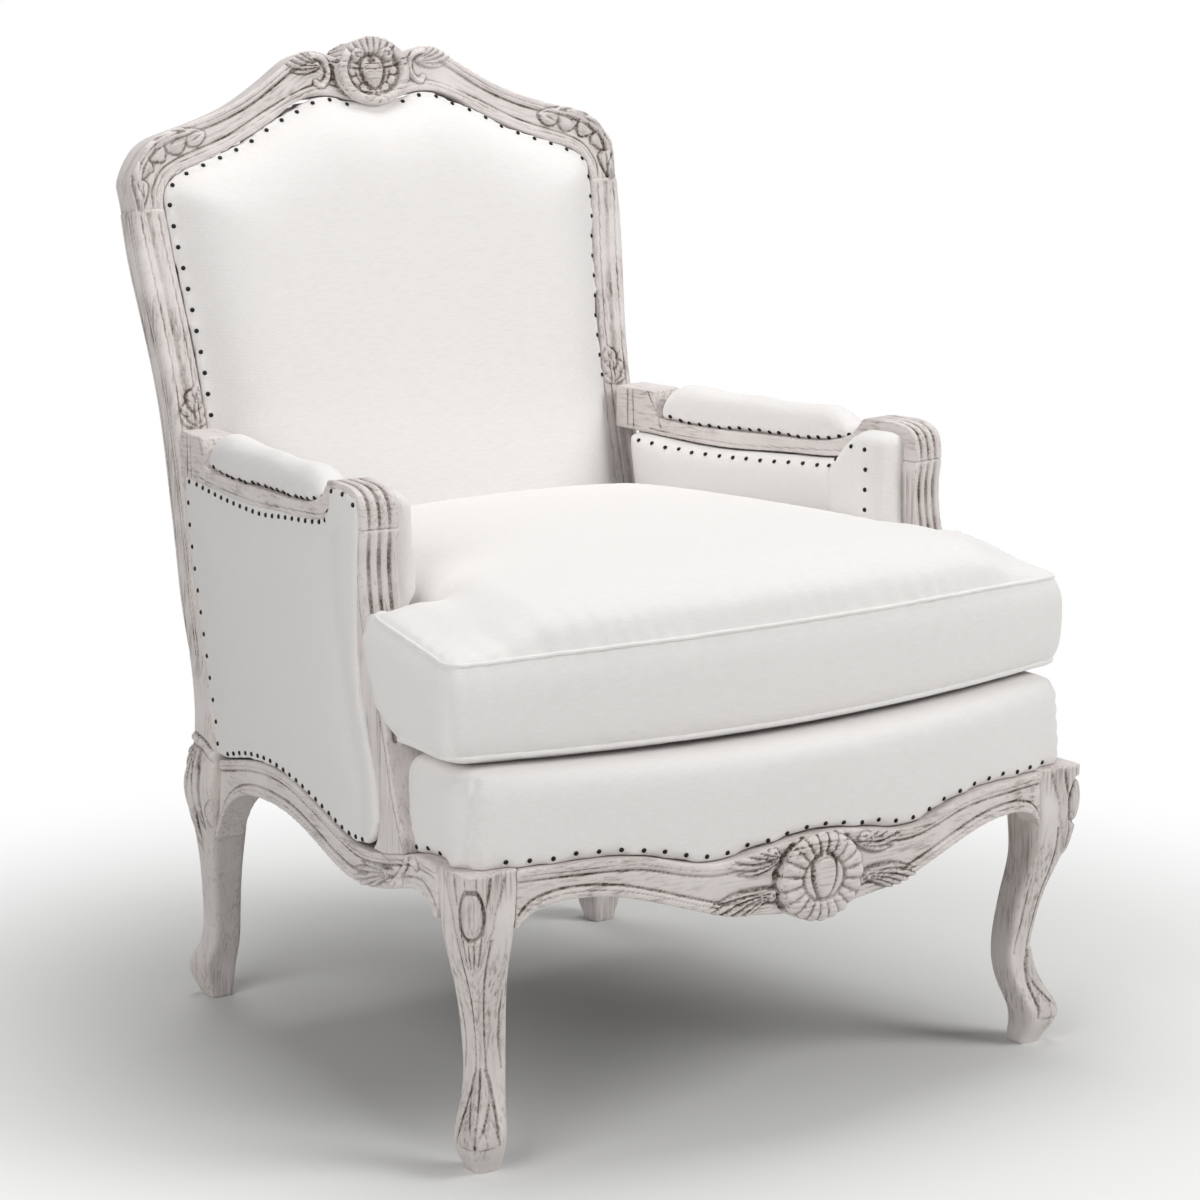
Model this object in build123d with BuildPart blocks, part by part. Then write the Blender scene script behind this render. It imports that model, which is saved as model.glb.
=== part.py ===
# A Louis XV bergere: a carved and painted show-wood armchair with closed, upholstered sides,
# a tight seat deck and a loose T-shaped cushion. The front looks to -Y. Left is the sitter's
# left, at +X, and each right-hand piece is the mirror of its left-hand one.
import math
import os

from build123d import *

os.makedirs("parts", exist_ok=True)

# Front legs, in millimetres
FRONT_FOOT_X = 351.0
FRONT_FOOT_Y = -339.0
FRONT_LEG_HEIGHT = 306.0
KNEE_WIDTH = 60.0
KNEE_OUTWARD = 9.0
ANKLE_WIDTH = 33.0
ANKLE_INWARD = 11.0
FOOT_WIDTH = 41.0
SOLE_WIDTH = 27.0
LEG_EDGE_SHARE = 0.18

# Back posts and the raked plane of the back frame's front face
BACK_FOOT_X = 262.0
BACK_FOOT_Y = 312.0
BACK_KNEE_X = 300.0
BACK_KNEE_Y = 236.0
BACK_KNEE_HEIGHT = 262.0
BACK_FACE_Y = 262.0
BACK_FACE_Z = 450.0
BACK_RAKE = 12.5
WAIST_X = 305.0
SHOULDER_X = 323.0
STILE_WIDTH = 40.0
STILE_DEPTH = 36.0
STILE_TRIM = 3.0
CREST_JOINT_Z = 872.0

# Crest rail
CREST_TOP = 1031.0
CREST_DEPTH = 34.0
CARTOUCHE_TOP = 1043.0
CARTOUCHE_WIDTH = 94.0
CARTOUCHE_HEIGHT = 76.0
CARTOUCHE_RELIEF = 8.0
BEAD_WIDTH = 9.0
FIELD_DEPTH = 2.5

# Seat rails
RAIL_SETBACK = 2.0
RAIL_LAP = 5.0
RAIL_DEPTH = 34.0
FRONT_RAIL_BOW = 46.0
FRONT_RAIL_TOP = 306.0
FRONT_RAIL_LOW = 221.0
SHELL_WIDTH = 105.0
SHELL_HEIGHT = 90.0
SHELL_RELIEF = 8.0
REAR_RAIL_TOP = 312.0
REAR_RAIL_LOW = 268.0
REAR_RAIL_DEPTH = 30.0

# Side frames: the plane of the outer face, from the front leg back to the post
SIDE_FRONT_X = 391.0
SIDE_FRONT_Y = -304.0
SIDE_BACK_X = 310.0
SIDE_BACK_Y = 274.0
SIDE_RAIL_INSET = 3.0
SIDE_RAIL_LAP = 1.0
ARM_WIDTH = 42.0
ARM_TOP = 641.0
ARM_LOW = 589.0
ARM_LIP = 638.0
ARM_CRADLE = 608.0
ARM_JOINT_Z = 606.0
FLUTE_WIDTH = 6.0
FLUTE_DEPTH = 3.0
FLUTE_PITCH = 11.0

# Back bottom rail and seat carcase
BOTTOM_RAIL_LOW = 362.0
BOTTOM_RAIL_TOP = 418.0
BOTTOM_RAIL_DEPTH = 26.0
CLEAT_TOP = 290.0
CLEAT_HEIGHT = 14.0
CLEAT_DEPTH = 18.0
CORNER_BLOCK_HEIGHT = 24.0
CORNER_BLOCK_REACH = 120.0
STRAP_WIDTH = 55.0
STRAP_THICKNESS = 2.5
STRAP_COUNT = 5
DUST_COVER_THICKNESS = 1.5

# Dowels
DOWEL_DIAMETER = 8.0
DOWEL_LENGTH = 36.0
DOWEL_CLEARANCE = 0.2

# Upholstery
DECK_TOP = 401.0
DECK_HALF_WIDTH = 385.0
DECK_SKIRT_LOW = 276.0
DECK_CORNER = 26.0
DECK_ROUND = 12.0
DECK_SETBACK = 4.0
PAD_CLEARANCE = 0.4
SIDE_PANEL_DEPTH = 4.0
SIDE_PANEL_THICKNESS = 9.0
SIDE_PAD_START = 22.0
SIDE_PAD_DEPTH = 62.0
SIDE_PAD_LOW = 345.0
BACK_PAD_CROWN = 40.0
BACK_PANEL_THICKNESS = 6.0
ARM_PAD_TOP = 651.0
ARM_PAD_FRONT = 238.0
ARM_PAD_BACK = 530.0

# Loose cushion
CUSHION_HALF_WIDTH = 386.0
CUSHION_FRONT_Y = -345.0
CUSHION_BOW = 32.0
CUSHION_LOW = 402.0
CUSHION_EDGE = 506.0
CUSHION_TOP = 556.0
CUSHION_GAP = 9.0
CUSHION_CORNER = 34.0

RAKE_TAN = math.tan(math.radians(BACK_RAKE))
RAKE_COS = math.cos(math.radians(BACK_RAKE))
RAKE_SIN = math.sin(math.radians(BACK_RAKE))
BACK_PLANE = Plane(
    origin=(0, BACK_FACE_Y, BACK_FACE_Z),
    x_dir=(1, 0, 0),
    z_dir=(0, -RAKE_COS, RAKE_SIN),
)
SIDE_RUN = Vector(SIDE_BACK_X - SIDE_FRONT_X, SIDE_BACK_Y - SIDE_FRONT_Y, 0)
SIDE_LENGTH = SIDE_RUN.length
SIDE_ALONG = SIDE_RUN.normalized()
SIDE_OUT = SIDE_ALONG.cross(Vector(0, 0, 1))
SIDE_PLANE = Plane(origin=(SIDE_FRONT_X, SIDE_FRONT_Y, 0), x_dir=SIDE_ALONG, z_dir=SIDE_OUT)
FRONT_LEG_X = FRONT_FOOT_X + KNEE_OUTWARD
FRONT_LEG_Y = FRONT_FOOT_Y - KNEE_OUTWARD
FRONT_RAIL_END_Y = FRONT_LEG_Y - KNEE_WIDTH / 2 + RAIL_SETBACK
FRONT_RAIL_END_X = FRONT_LEG_X - KNEE_WIDTH / 2
BACK_PAD_LOW = BOTTOM_RAIL_TOP + PAD_CLEARANCE
REACH = 2000.0


def back_face_y(height):
    return BACK_FACE_Y + (height - BACK_FACE_Z) * RAKE_TAN


def back_point(across, height):
    return (across, (height - BACK_FACE_Z) / RAKE_COS)


def side_x(depth_y):
    return SIDE_BACK_X + (SIDE_BACK_Y - depth_y) * (SIDE_FRONT_X - SIDE_BACK_X) / (SIDE_BACK_Y - SIDE_FRONT_Y)


def side_point(along, height, depth):
    return SIDE_PLANE.from_local_coords(Vector(along, height, -depth))


def both_sides(form):
    return [form.part, mirror(form.part, about=Plane.YZ, mode=Mode.PRIVATE)]


# Front legs: cabriole curve through rounded squares
front_leg_stations = (
    (0.000, 0.0, SOLE_WIDTH),
    (0.045, 3.0, 0.5 * (SOLE_WIDTH + FOOT_WIDTH)),
    (0.115, 6.0, FOOT_WIDTH),
    (0.195, -3.0, 0.5 * (FOOT_WIDTH + ANKLE_WIDTH)),
    (0.310, -ANKLE_INWARD, ANKLE_WIDTH),
    (0.430, -0.8 * ANKLE_INWARD, ANKLE_WIDTH + 1.5),
    (0.560, -0.2 * ANKLE_INWARD, ANKLE_WIDTH + 5.0),
    (0.690, 0.7 * KNEE_OUTWARD, KNEE_WIDTH - 14.0),
    (0.790, KNEE_OUTWARD, KNEE_WIDTH - 6.0),
    (0.860, KNEE_OUTWARD + 0.5, KNEE_WIDTH - 2.5),
    (0.930, KNEE_OUTWARD, KNEE_WIDTH - 0.7),
    (1.000, KNEE_OUTWARD, KNEE_WIDTH),
)
with BuildPart() as front_leg_form:
    for share, outward, width in front_leg_stations:
        with BuildSketch(Plane.XY.offset(share * FRONT_LEG_HEIGHT)):
            with Locations((FRONT_FOOT_X + outward, FRONT_FOOT_Y - outward)):
                RectangleRounded(width, width, LEG_EDGE_SHARE * width)
    loft()


# Opening of the back frame, shared by the crest, the stiles, the pad and the outer panel
OPENING_SIDE = WAIST_X - STILE_WIDTH
OPENING_SHOULDER = SHOULDER_X - STILE_WIDTH
OPENING_TOP = CREST_TOP - 49.5


def back_opening(low, inset):
    def place(across, height):
        share = (height - low) / (OPENING_TOP - low)
        raised = low + inset + share * (OPENING_TOP - low - 2 * inset)
        return back_point(across * (OPENING_SIDE - inset) / OPENING_SIDE, raised)

    low_side = place(OPENING_SIDE + 2.0, low)
    joint = place(OPENING_SHOULDER, CREST_JOINT_Z)
    shoulder = place(OPENING_SHOULDER - 28.0, CREST_JOINT_Z + 39.0)
    hump_out = place(125.0, OPENING_TOP - 19.5)
    hump_in = place(36.0, OPENING_TOP - 5.5)
    with BuildLine() as outline:
        ThreePointArc(low_side, place(OPENING_SIDE + 0.5, 0.5 * (low + CREST_JOINT_Z)), joint)
        ThreePointArc(joint, place(OPENING_SHOULDER - 7.0, CREST_JOINT_Z + 25.0), shoulder)
        ThreePointArc(shoulder, place(190.0, OPENING_TOP - 49.5), hump_out)
        ThreePointArc(hump_out, place(72.0, OPENING_TOP), hump_in)
        ThreePointArc(hump_in, place(0.0, OPENING_TOP - 9.0), (-hump_in[0], hump_in[1]))
        mirrored = [(-x, t) for x, t in (hump_out, shoulder, joint, low_side)]
        crest_mid = place(72.0, OPENING_TOP)
        slope_mid = place(190.0, OPENING_TOP - 49.5)
        corner_mid = place(OPENING_SHOULDER - 7.0, CREST_JOINT_Z + 25.0)
        side_mid = place(OPENING_SIDE + 0.5, 0.5 * (low + CREST_JOINT_Z))
        ThreePointArc((-hump_in[0], hump_in[1]), (-crest_mid[0], crest_mid[1]), mirrored[0])
        ThreePointArc(mirrored[0], (-slope_mid[0], slope_mid[1]), mirrored[1])
        ThreePointArc(mirrored[1], (-corner_mid[0], corner_mid[1]), mirrored[2])
        ThreePointArc(mirrored[2], (-side_mid[0], side_mid[1]), mirrored[3])
        Line(mirrored[3], low_side)
    return outline.edges()


# Back posts: leg, knee and raked stile in one loft, trimmed to the opening and to the crest joint
def stile_station(height, outer):
    width = STILE_WIDTH + STILE_TRIM
    return (height, outer - width / 2, back_face_y(height) + STILE_DEPTH / 2, width, STILE_DEPTH)


knee_rise = BACK_KNEE_HEIGHT
back_post_stations = (
    (0.0, BACK_FOOT_X, BACK_FOOT_Y, 28.0, 28.0),
    (0.045 * knee_rise, BACK_FOOT_X + 1.0, BACK_FOOT_Y + 2.0, 34.0, 33.0),
    (0.130 * knee_rise, BACK_FOOT_X + 3.0, BACK_FOOT_Y + 4.0, 42.0, 40.0),
    (0.230 * knee_rise, BACK_FOOT_X, BACK_FOOT_Y - 6.0, 38.0, 34.0),
    (0.360 * knee_rise, BACK_FOOT_X + 2.0, BACK_FOOT_Y - 17.0, 36.0, 30.0),
    (0.500 * knee_rise, BACK_FOOT_X + 10.0, BACK_FOOT_Y - 31.0, 37.0, 32.0),
    (0.650 * knee_rise, BACK_FOOT_X + 21.0, BACK_FOOT_Y - 50.0, 40.0, 36.0),
    (0.800 * knee_rise, BACK_KNEE_X - 7.0, BACK_KNEE_Y + 10.0, 46.0, 43.0),
    (knee_rise, BACK_KNEE_X, BACK_KNEE_Y, 54.0, 50.0),
    (knee_rise + 45.0, BACK_KNEE_X - 3.0, BACK_KNEE_Y - 3.0, 48.0, 48.0),
    (knee_rise + 90.0, BACK_KNEE_X - 6.0, BACK_KNEE_Y + 6.0, STILE_WIDTH + 2.0, STILE_DEPTH + 8.0),
    (knee_rise + 130.0, WAIST_X - 16.0, BACK_KNEE_Y + 24.0, STILE_WIDTH + 1.5, STILE_DEPTH + 3.0),
    stile_station(BACK_FACE_Z, WAIST_X + 3.5),
    stile_station(BACK_FACE_Z + 60.0, WAIST_X + 2.0),
    stile_station(BACK_FACE_Z + 130.0, WAIST_X + 0.5),
    stile_station(BACK_FACE_Z + 200.0, WAIST_X),
    stile_station(0.5 * (BACK_FACE_Z + 200.0 + CREST_JOINT_Z), 0.5 * (WAIST_X + SHOULDER_X)),
    stile_station(CREST_JOINT_Z - 42.0, SHOULDER_X - 2.5),
    stile_station(CREST_JOINT_Z + 12.0, SHOULDER_X),
)
with BuildPart() as back_post_form:
    for height, across, depth, width, thickness in back_post_stations:
        with BuildSketch(Plane.XY.offset(height)):
            with Locations((across, depth)):
                RectangleRounded(width, thickness, 7.0)
    loft()
    with BuildSketch(BACK_PLANE) as above_joint:
        with Locations(back_point(0, CREST_JOINT_Z)):
            Rectangle(REACH, 200.0, align=(Align.CENTER, Align.MIN))
        make_face(back_opening(BACK_PAD_LOW, 0.0))
    extrude(amount=100.0, both=True, mode=Mode.SUBTRACT)


# Crest rail: serpentine outer edge, the shared opening below, beaded edges round a sunk field
def crest_outer(bead):
    points = [
        back_point(0, CREST_TOP - 13.0),
        back_point(42, CREST_TOP - 9.0),
        back_point(70, CREST_TOP),
        back_point(102, CREST_TOP - 10.0),
        back_point(155, CREST_TOP - 41.0),
        back_point(200, CREST_TOP - 60.0),
        back_point(SHOULDER_X - 76.0, CREST_TOP - 73.0),
        back_point(SHOULDER_X - 46.0, CREST_TOP - 82.0),
        back_point(SHOULDER_X - 22.0, CREST_TOP - 96.0),
        back_point(SHOULDER_X - 6.0, CREST_TOP - 119.0),
        back_point(SHOULDER_X, CREST_JOINT_Z),
    ]
    with BuildLine(mode=Mode.PRIVATE):
        edge = Spline(points, tangents=((1, 0), (0, -1)))
    inset_points = []
    for step in range(11):
        share = step / 10
        normal = (edge % share).rotate(Axis.Z, -90)
        inset_points.append(edge @ share + normal * bead)
    with BuildLine() as outline:
        rim = Spline(inset_points, tangents=((1, 0), (0, -1)))
        Line(rim @ 1, back_point(0, CREST_JOINT_Z))
        mirror(about=Plane.YZ)
    return outline.edges()


with BuildPart() as crest_form:
    with BuildSketch(BACK_PLANE):
        make_face(crest_outer(0.0))
        make_face(back_opening(BACK_PAD_LOW, 0.0), mode=Mode.SUBTRACT)
    extrude(amount=-CREST_DEPTH)
    with BuildSketch(BACK_PLANE):
        make_face(crest_outer(BEAD_WIDTH))
        make_face(back_opening(BACK_PAD_LOW, -BEAD_WIDTH), mode=Mode.SUBTRACT)
    extrude(amount=-FIELD_DEPTH, mode=Mode.SUBTRACT)
    with BuildSketch(BACK_PLANE):
        with Locations(back_point(0, CARTOUCHE_TOP - CARTOUCHE_HEIGHT / 2)):
            Ellipse(CARTOUCHE_WIDTH / 2, CARTOUCHE_HEIGHT / 2 / RAKE_COS)
    extrude(amount=CARTOUCHE_RELIEF)
    with BuildSketch(BACK_PLANE):
        with Locations(back_point(0, CARTOUCHE_TOP - CARTOUCHE_HEIGHT / 2)):
            Ellipse(CARTOUCHE_WIDTH / 2, CARTOUCHE_HEIGHT / 2 / RAKE_COS)
        make_face(back_opening(BACK_PAD_LOW, 0.0), mode=Mode.SUBTRACT)
    extrude(amount=-CREST_DEPTH)



# Front seat rail: serpentine elevation crossed with a bowed plan, shell boss in the middle
def front_rail_outline(bead):
    end = FRONT_RAIL_END_X
    top = FRONT_RAIL_TOP - bead
    low = FRONT_RAIL_LOW + bead
    with BuildLine() as outline:
        upper = Spline(
            [
                (0, top - 6),
                (70, top - 13),
                (118, top - 20),
                (160, top - 14),
                (205, top - 3),
                (262, top),
                (end + 14, top - 1),
            ],
            tangents=((1, 0), (1, 0)),
        )
        lower = Spline(
            [
                (0, low),
                (72, low + 6),
                (112, low + 11),
                (150, low + 22),
                (190, low + 35),
                (232, low + 46),
                (275, low + 50),
                (306, low + 46),
                (end - 6, low + 37),
                (end + 6, low + 21),
                (end + 14, low - 4),
            ],
            tangents=((1, 0), (0, -1)),
        )
        Line(upper @ 1, lower @ 1)
        mirror(about=Plane.YZ)
    return outline.edges()


def bowed_band(front_shift, back_shift):
    half = FRONT_RAIL_END_X + 14
    front = FRONT_RAIL_END_Y + front_shift
    back = FRONT_RAIL_END_Y + back_shift
    with BuildLine() as outline:
        ThreePointArc((-half, front), (0, front - FRONT_RAIL_BOW), (half, front))
        Line((half, front), (half, back))
        ThreePointArc((half, back), (0, back - FRONT_RAIL_BOW), (-half, back))
        Line((-half, back), (-half, front))
    return outline.edges()


def bow_y(across, shift):
    half = FRONT_RAIL_END_X + 14
    radius = (half * half + FRONT_RAIL_BOW * FRONT_RAIL_BOW) / (2 * FRONT_RAIL_BOW)
    middle = FRONT_RAIL_END_Y + shift - FRONT_RAIL_BOW + radius
    return middle - math.sqrt(radius * radius - across * across)


with BuildPart() as front_rail_field:
    with BuildSketch(Plane.XZ):
        make_face(front_rail_outline(BEAD_WIDTH))
    extrude(amount=REACH / 2, both=True)
    with BuildSketch(Plane.XY):
        make_face(bowed_band(-10.0, FIELD_DEPTH))
    extrude(amount=REACH / 2, mode=Mode.INTERSECT)

with BuildPart() as front_rail_form:
    with BuildSketch(Plane.XZ):
        make_face(front_rail_outline(0.0))
    extrude(amount=REACH / 2, both=True)
    with BuildSketch(Plane.XY):
        make_face(bowed_band(0.0, RAIL_DEPTH))
    extrude(amount=REACH / 2, mode=Mode.INTERSECT)
    add(front_rail_field.part, mode=Mode.SUBTRACT)
    with BuildSketch(Plane.XZ.offset(FRONT_RAIL_BOW - FRONT_RAIL_END_Y - RAIL_DEPTH + 6.0)):
        with Locations((0, FRONT_RAIL_TOP - 5.0 - SHELL_HEIGHT / 2)):
            Ellipse(SHELL_WIDTH / 2, SHELL_HEIGHT / 2)
    extrude(amount=RAIL_DEPTH - 6.0 + SHELL_RELIEF)
    shell_rim = faces().sort_by(Axis.Y)[0].edges()
    fillet(shell_rim, 0.6 * SHELL_RELIEF)
    Box(2 * (FRONT_RAIL_END_X + RAIL_LAP), REACH, REACH, mode=Mode.INTERSECT)
    add(both_sides(front_leg_form), mode=Mode.SUBTRACT)


# Side frame outlines, drawn along the side and up
def side_rail_outline(bead):
    top = FRONT_RAIL_TOP - bead
    low = FRONT_RAIL_LOW + bead
    with BuildLine() as outline:
        upper = Spline(
            [
                (-30, top - 3),
                (35, top - 1),
                (64, top - 7),
                (117, top - 18),
                (165, top - 22),
                (223, top - 13),
                (294, top + 3),
                (363, top + 12),
                (433, top + 7),
                (511, top - 9),
                (546, top - 15),
            ]
        )
        lower = Spline(
            [
                (-30, low - 8),
                (-14, low + 30),
                (10, low + 48),
                (32, low + 50),
                (64, low + 43),
                (127, low + 29),
                (174, low + 25),
                (224, low + 32),
                (266, low + 43),
                (333, low + 56),
                (404, low + 57),
                (455, low + 49),
                (490, low + 33),
                (512, low + 13),
                (530, low - 16),
            ]
        )
        Line(upper @ 0, lower @ 0)
        Line(upper @ 1, lower @ 1)
    return outline.edges()


support_front = [
    (84, 405),
    (104, 452),
    (128, 502),
    (139, 545),
    (141, 585),
    (138, ARM_JOINT_Z),
]


def support_outline():
    with BuildLine() as outline:
        foot = Spline([(56, 292), (45, 309), (57, 331), (71, 362), support_front[0]])
        front = Spline(support_front, tangents=(foot % 1, Vector(-0.1, 1, 0)))
        rear = Spline(
            [
                (172, ARM_JOINT_Z),
                (175, 585),
                (172, 545),
                (160, 502),
                (140, 445),
                (124, 393),
                (106, 350),
                (104, 320),
                (118, 292),
            ]
        )
        Line(front @ 1, rear @ 0)
        Line(rear @ 1, foot @ 0)
    return outline.edges()


def arm_outline():
    with BuildLine() as outline:
        block = Polyline(
            (600, ARM_TOP),
            (ARM_PAD_BACK + 10, ARM_TOP),
            (ARM_PAD_BACK + 3, ARM_CRADLE + 1),
        )
        cradle = Spline(
            [
                block @ 1,
                (420, ARM_CRADLE),
                (330, ARM_CRADLE + 3),
                (270, ARM_CRADLE + 7),
                (ARM_PAD_FRONT + 2, ARM_CRADLE + 15),
                (ARM_PAD_FRONT - 22, ARM_LIP - 1),
            ]
        )
        lip = Spline(
            [cradle @ 1, (185, ARM_LIP), (156, ARM_LIP - 3), (143, ARM_LIP - 11), (138, ARM_JOINT_Z)],
            tangents=(Vector(-1, 0.1, 0), Vector(-0.05, -1, 0)),
        )
        heel = Polyline(lip @ 1, (172, ARM_JOINT_Z), (203, ARM_JOINT_Z + 15), (216, ARM_LOW + 20))
        under = Spline(
            [heel @ 1, (240, ARM_LOW + 13), (324, ARM_LOW + 6), (420, ARM_LOW), (506, ARM_LOW + 1), (600, ARM_LOW + 4)]
        )
        Line(under @ 1, block @ 0)
    return outline.edges()


with BuildPart() as side_rail_prism:
    with BuildSketch(SIDE_PLANE.offset(20)):
        make_face(side_rail_outline(0.0))
    extrude(amount=-110)

with BuildPart() as side_wood_prism:
    add(side_rail_prism.part)
    with BuildSketch(SIDE_PLANE.offset(20)):
        make_face(support_outline())
        make_face(arm_outline())
    extrude(amount=-110)

with BuildPart() as side_rail_form:
    with BuildSketch(SIDE_PLANE.offset(-SIDE_RAIL_INSET)):
        make_face(side_rail_outline(0.0))
    extrude(amount=-RAIL_DEPTH)
    with BuildSketch(SIDE_PLANE.offset(-SIDE_RAIL_INSET)):
        make_face(side_rail_outline(BEAD_WIDTH))
    extrude(amount=-FIELD_DEPTH, mode=Mode.SUBTRACT)
    with Locations((0, FRONT_LEG_Y + KNEE_WIDTH / 2 - SIDE_RAIL_LAP, 0)):
        Box(REACH, REACH, REACH, align=(Align.CENTER, Align.MIN, Align.CENTER), mode=Mode.INTERSECT)
    add(front_leg_form.part, mode=Mode.SUBTRACT)
    add(back_post_form.part, mode=Mode.SUBTRACT)

# Three flutes run up the front of each arm support and over the lip of the arm
with BuildPart() as flutes:
    for place in (-1, 0, 1):
        depth = ARM_WIDTH / 2 + place * FLUTE_PITCH
        with BuildLine(SIDE_PLANE.offset(-depth)) as flute_path:
            Spline(
                support_front
                + [(143, ARM_LIP - 11), (156, ARM_LIP - 3), (185, ARM_LIP), (ARM_PAD_FRONT - 24, ARM_LIP)]
            )
        with BuildSketch(Plane(origin=flute_path.line @ 0, z_dir=flute_path.line % 0)):
            Circle(FLUTE_WIDTH / 2)
        sweep(path=flute_path.line)

with BuildPart() as arm_support_form:
    with BuildSketch(SIDE_PLANE):
        make_face(support_outline())
    extrude(amount=-ARM_WIDTH)
    add(side_rail_prism.part, mode=Mode.SUBTRACT)
    add(flutes.part, mode=Mode.SUBTRACT)

with BuildPart() as arm_form:
    with BuildSketch(SIDE_PLANE):
        make_face(arm_outline())
    extrude(amount=-ARM_WIDTH)
    add(back_post_form.part, mode=Mode.SUBTRACT)
    add(flutes.part, mode=Mode.SUBTRACT)

# Rear seat rail with a shallow arch, and the hidden bottom rail of the back
with BuildPart() as rear_rail_form:
    with BuildSketch(Plane.XZ.offset(-BACK_KNEE_Y)):
        with BuildLine():
            Polyline(
                (-BACK_KNEE_X, REAR_RAIL_LOW),
                (-BACK_KNEE_X, REAR_RAIL_TOP),
                (BACK_KNEE_X, REAR_RAIL_TOP),
                (BACK_KNEE_X, REAR_RAIL_LOW),
            )
            ThreePointArc((BACK_KNEE_X, REAR_RAIL_LOW), (0, REAR_RAIL_LOW + 10), (-BACK_KNEE_X, REAR_RAIL_LOW))
        make_face()
    extrude(amount=REAR_RAIL_DEPTH / 2, both=True)
    add(both_sides(back_post_form), mode=Mode.SUBTRACT)

with BuildPart() as bottom_rail_form:
    with BuildSketch(BACK_PLANE):
        with Locations(back_point(0, 0.5 * (BOTTOM_RAIL_LOW + BOTTOM_RAIL_TOP))):
            Rectangle(2 * (OPENING_SIDE + RAIL_LAP), (BOTTOM_RAIL_TOP - BOTTOM_RAIL_LOW) / RAKE_COS)
    extrude(amount=-BOTTOM_RAIL_DEPTH)
    add(both_sides(back_post_form), mode=Mode.SUBTRACT)


# Seat carcase: corner blocks, cleats, webbing and dust cover, all inside the rails
CAVITY_FRONT = FRONT_RAIL_END_Y + RAIL_DEPTH
CAVITY_BACK = BACK_KNEE_Y - REAR_RAIL_DEPTH / 2
CAVITY_INSET = (SIDE_RAIL_INSET + RAIL_DEPTH) / SIDE_OUT.X + 0.1


def cavity_outline(inset):
    across = inset / SIDE_OUT.X + CAVITY_INSET
    front = bow_y(side_x(CAVITY_FRONT) - across, RAIL_DEPTH + inset)
    half_front = side_x(front) - across
    back = CAVITY_BACK - inset
    half_back = side_x(back) - across
    with BuildLine() as outline:
        ThreePointArc((-half_front, front), (0, CAVITY_FRONT - FRONT_RAIL_BOW + inset), (half_front, front))
        Polyline((half_front, front), (half_back, back), (-half_back, back), (-half_front, front))
    return outline.edges()


def corner_notches():
    for x_sign in (-1, 1):
        with Locations((x_sign * FRONT_LEG_X, FRONT_LEG_Y)):
            Rectangle(KNEE_WIDTH + 2 * RAIL_LAP, KNEE_WIDTH + 2 * RAIL_LAP, mode=Mode.SUBTRACT)
        with Locations((x_sign * BACK_KNEE_X, BACK_KNEE_Y)):
            Rectangle(KNEE_WIDTH, KNEE_WIDTH, mode=Mode.SUBTRACT)


seat_wood = [front_rail_form.part, rear_rail_form.part]
seat_wood += both_sides(front_leg_form) + both_sides(side_rail_form)

block_front_x = FRONT_RAIL_END_X + 40.0
block_front_y = FRONT_RAIL_END_Y + 6.0
block_back_x = BACK_KNEE_X + 4.0
block_back_y = BACK_KNEE_Y
with BuildPart() as corner_blocks:
    with BuildSketch(Plane.XY.offset(CLEAT_TOP - CORNER_BLOCK_HEIGHT)):
        with BuildLine():
            Polyline(
                (block_front_x, block_front_y),
                (block_front_x, block_front_y + CORNER_BLOCK_REACH + 14.0),
                (block_front_x - CORNER_BLOCK_REACH - 14.0, block_front_y),
                close=True,
            )
        make_face()
        with BuildLine():
            Polyline(
                (block_back_x, block_back_y),
                (block_back_x, block_back_y - CORNER_BLOCK_REACH),
                (block_back_x - CORNER_BLOCK_REACH, block_back_y),
                close=True,
            )
        make_face()
        mirror(about=Plane.YZ)
        make_face(cavity_outline(0.0), mode=Mode.INTERSECT)
        corner_notches()
    extrude(amount=CORNER_BLOCK_HEIGHT)

with BuildPart() as seat_cleats:
    with BuildSketch(Plane.XY.offset(CLEAT_TOP - CLEAT_HEIGHT)):
        make_face(cavity_outline(0.0))
        make_face(cavity_outline(CLEAT_DEPTH), mode=Mode.SUBTRACT)
        corner_notches()
    extrude(amount=CLEAT_HEIGHT)
    add(corner_blocks.part, mode=Mode.SUBTRACT)

STRAP_ROWS = 4
strap_span = CAVITY_BACK - CAVITY_FRONT
with BuildPart() as seat_webbing:
    with BuildSketch(Plane.XY.offset(CLEAT_TOP)):
        make_face(cavity_outline(PAD_CLEARANCE))
        with BuildSketch(Plane.XY, mode=Mode.PRIVATE) as across_straps:
            with Locations((0, 0.5 * (CAVITY_FRONT + CAVITY_BACK))):
                with GridLocations(10, strap_span / (STRAP_ROWS + 0.5), 1, STRAP_ROWS):
                    Rectangle(REACH, STRAP_WIDTH)
        add(across_straps.sketch, mode=Mode.INTERSECT)
    extrude(amount=STRAP_THICKNESS)
    with BuildSketch(Plane.XY.offset(CLEAT_TOP + STRAP_THICKNESS)):
        make_face(cavity_outline(PAD_CLEARANCE))
        with BuildSketch(Plane.XY, mode=Mode.PRIVATE) as along_straps:
            with GridLocations(2 * OPENING_SIDE / (STRAP_COUNT + 0.5), 10, STRAP_COUNT, 1):
                Rectangle(STRAP_WIDTH, REACH)
        add(along_straps.sketch, mode=Mode.INTERSECT)
    extrude(amount=STRAP_THICKNESS)

with BuildPart() as dust_cover:
    with BuildSketch(Plane.XY.offset(CLEAT_TOP - CLEAT_HEIGHT)):
        make_face(cavity_outline(PAD_CLEARANCE))
        corner_notches()
    extrude(amount=-DUST_COVER_THICKNESS)
    add(corner_blocks.part, mode=Mode.SUBTRACT)


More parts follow.
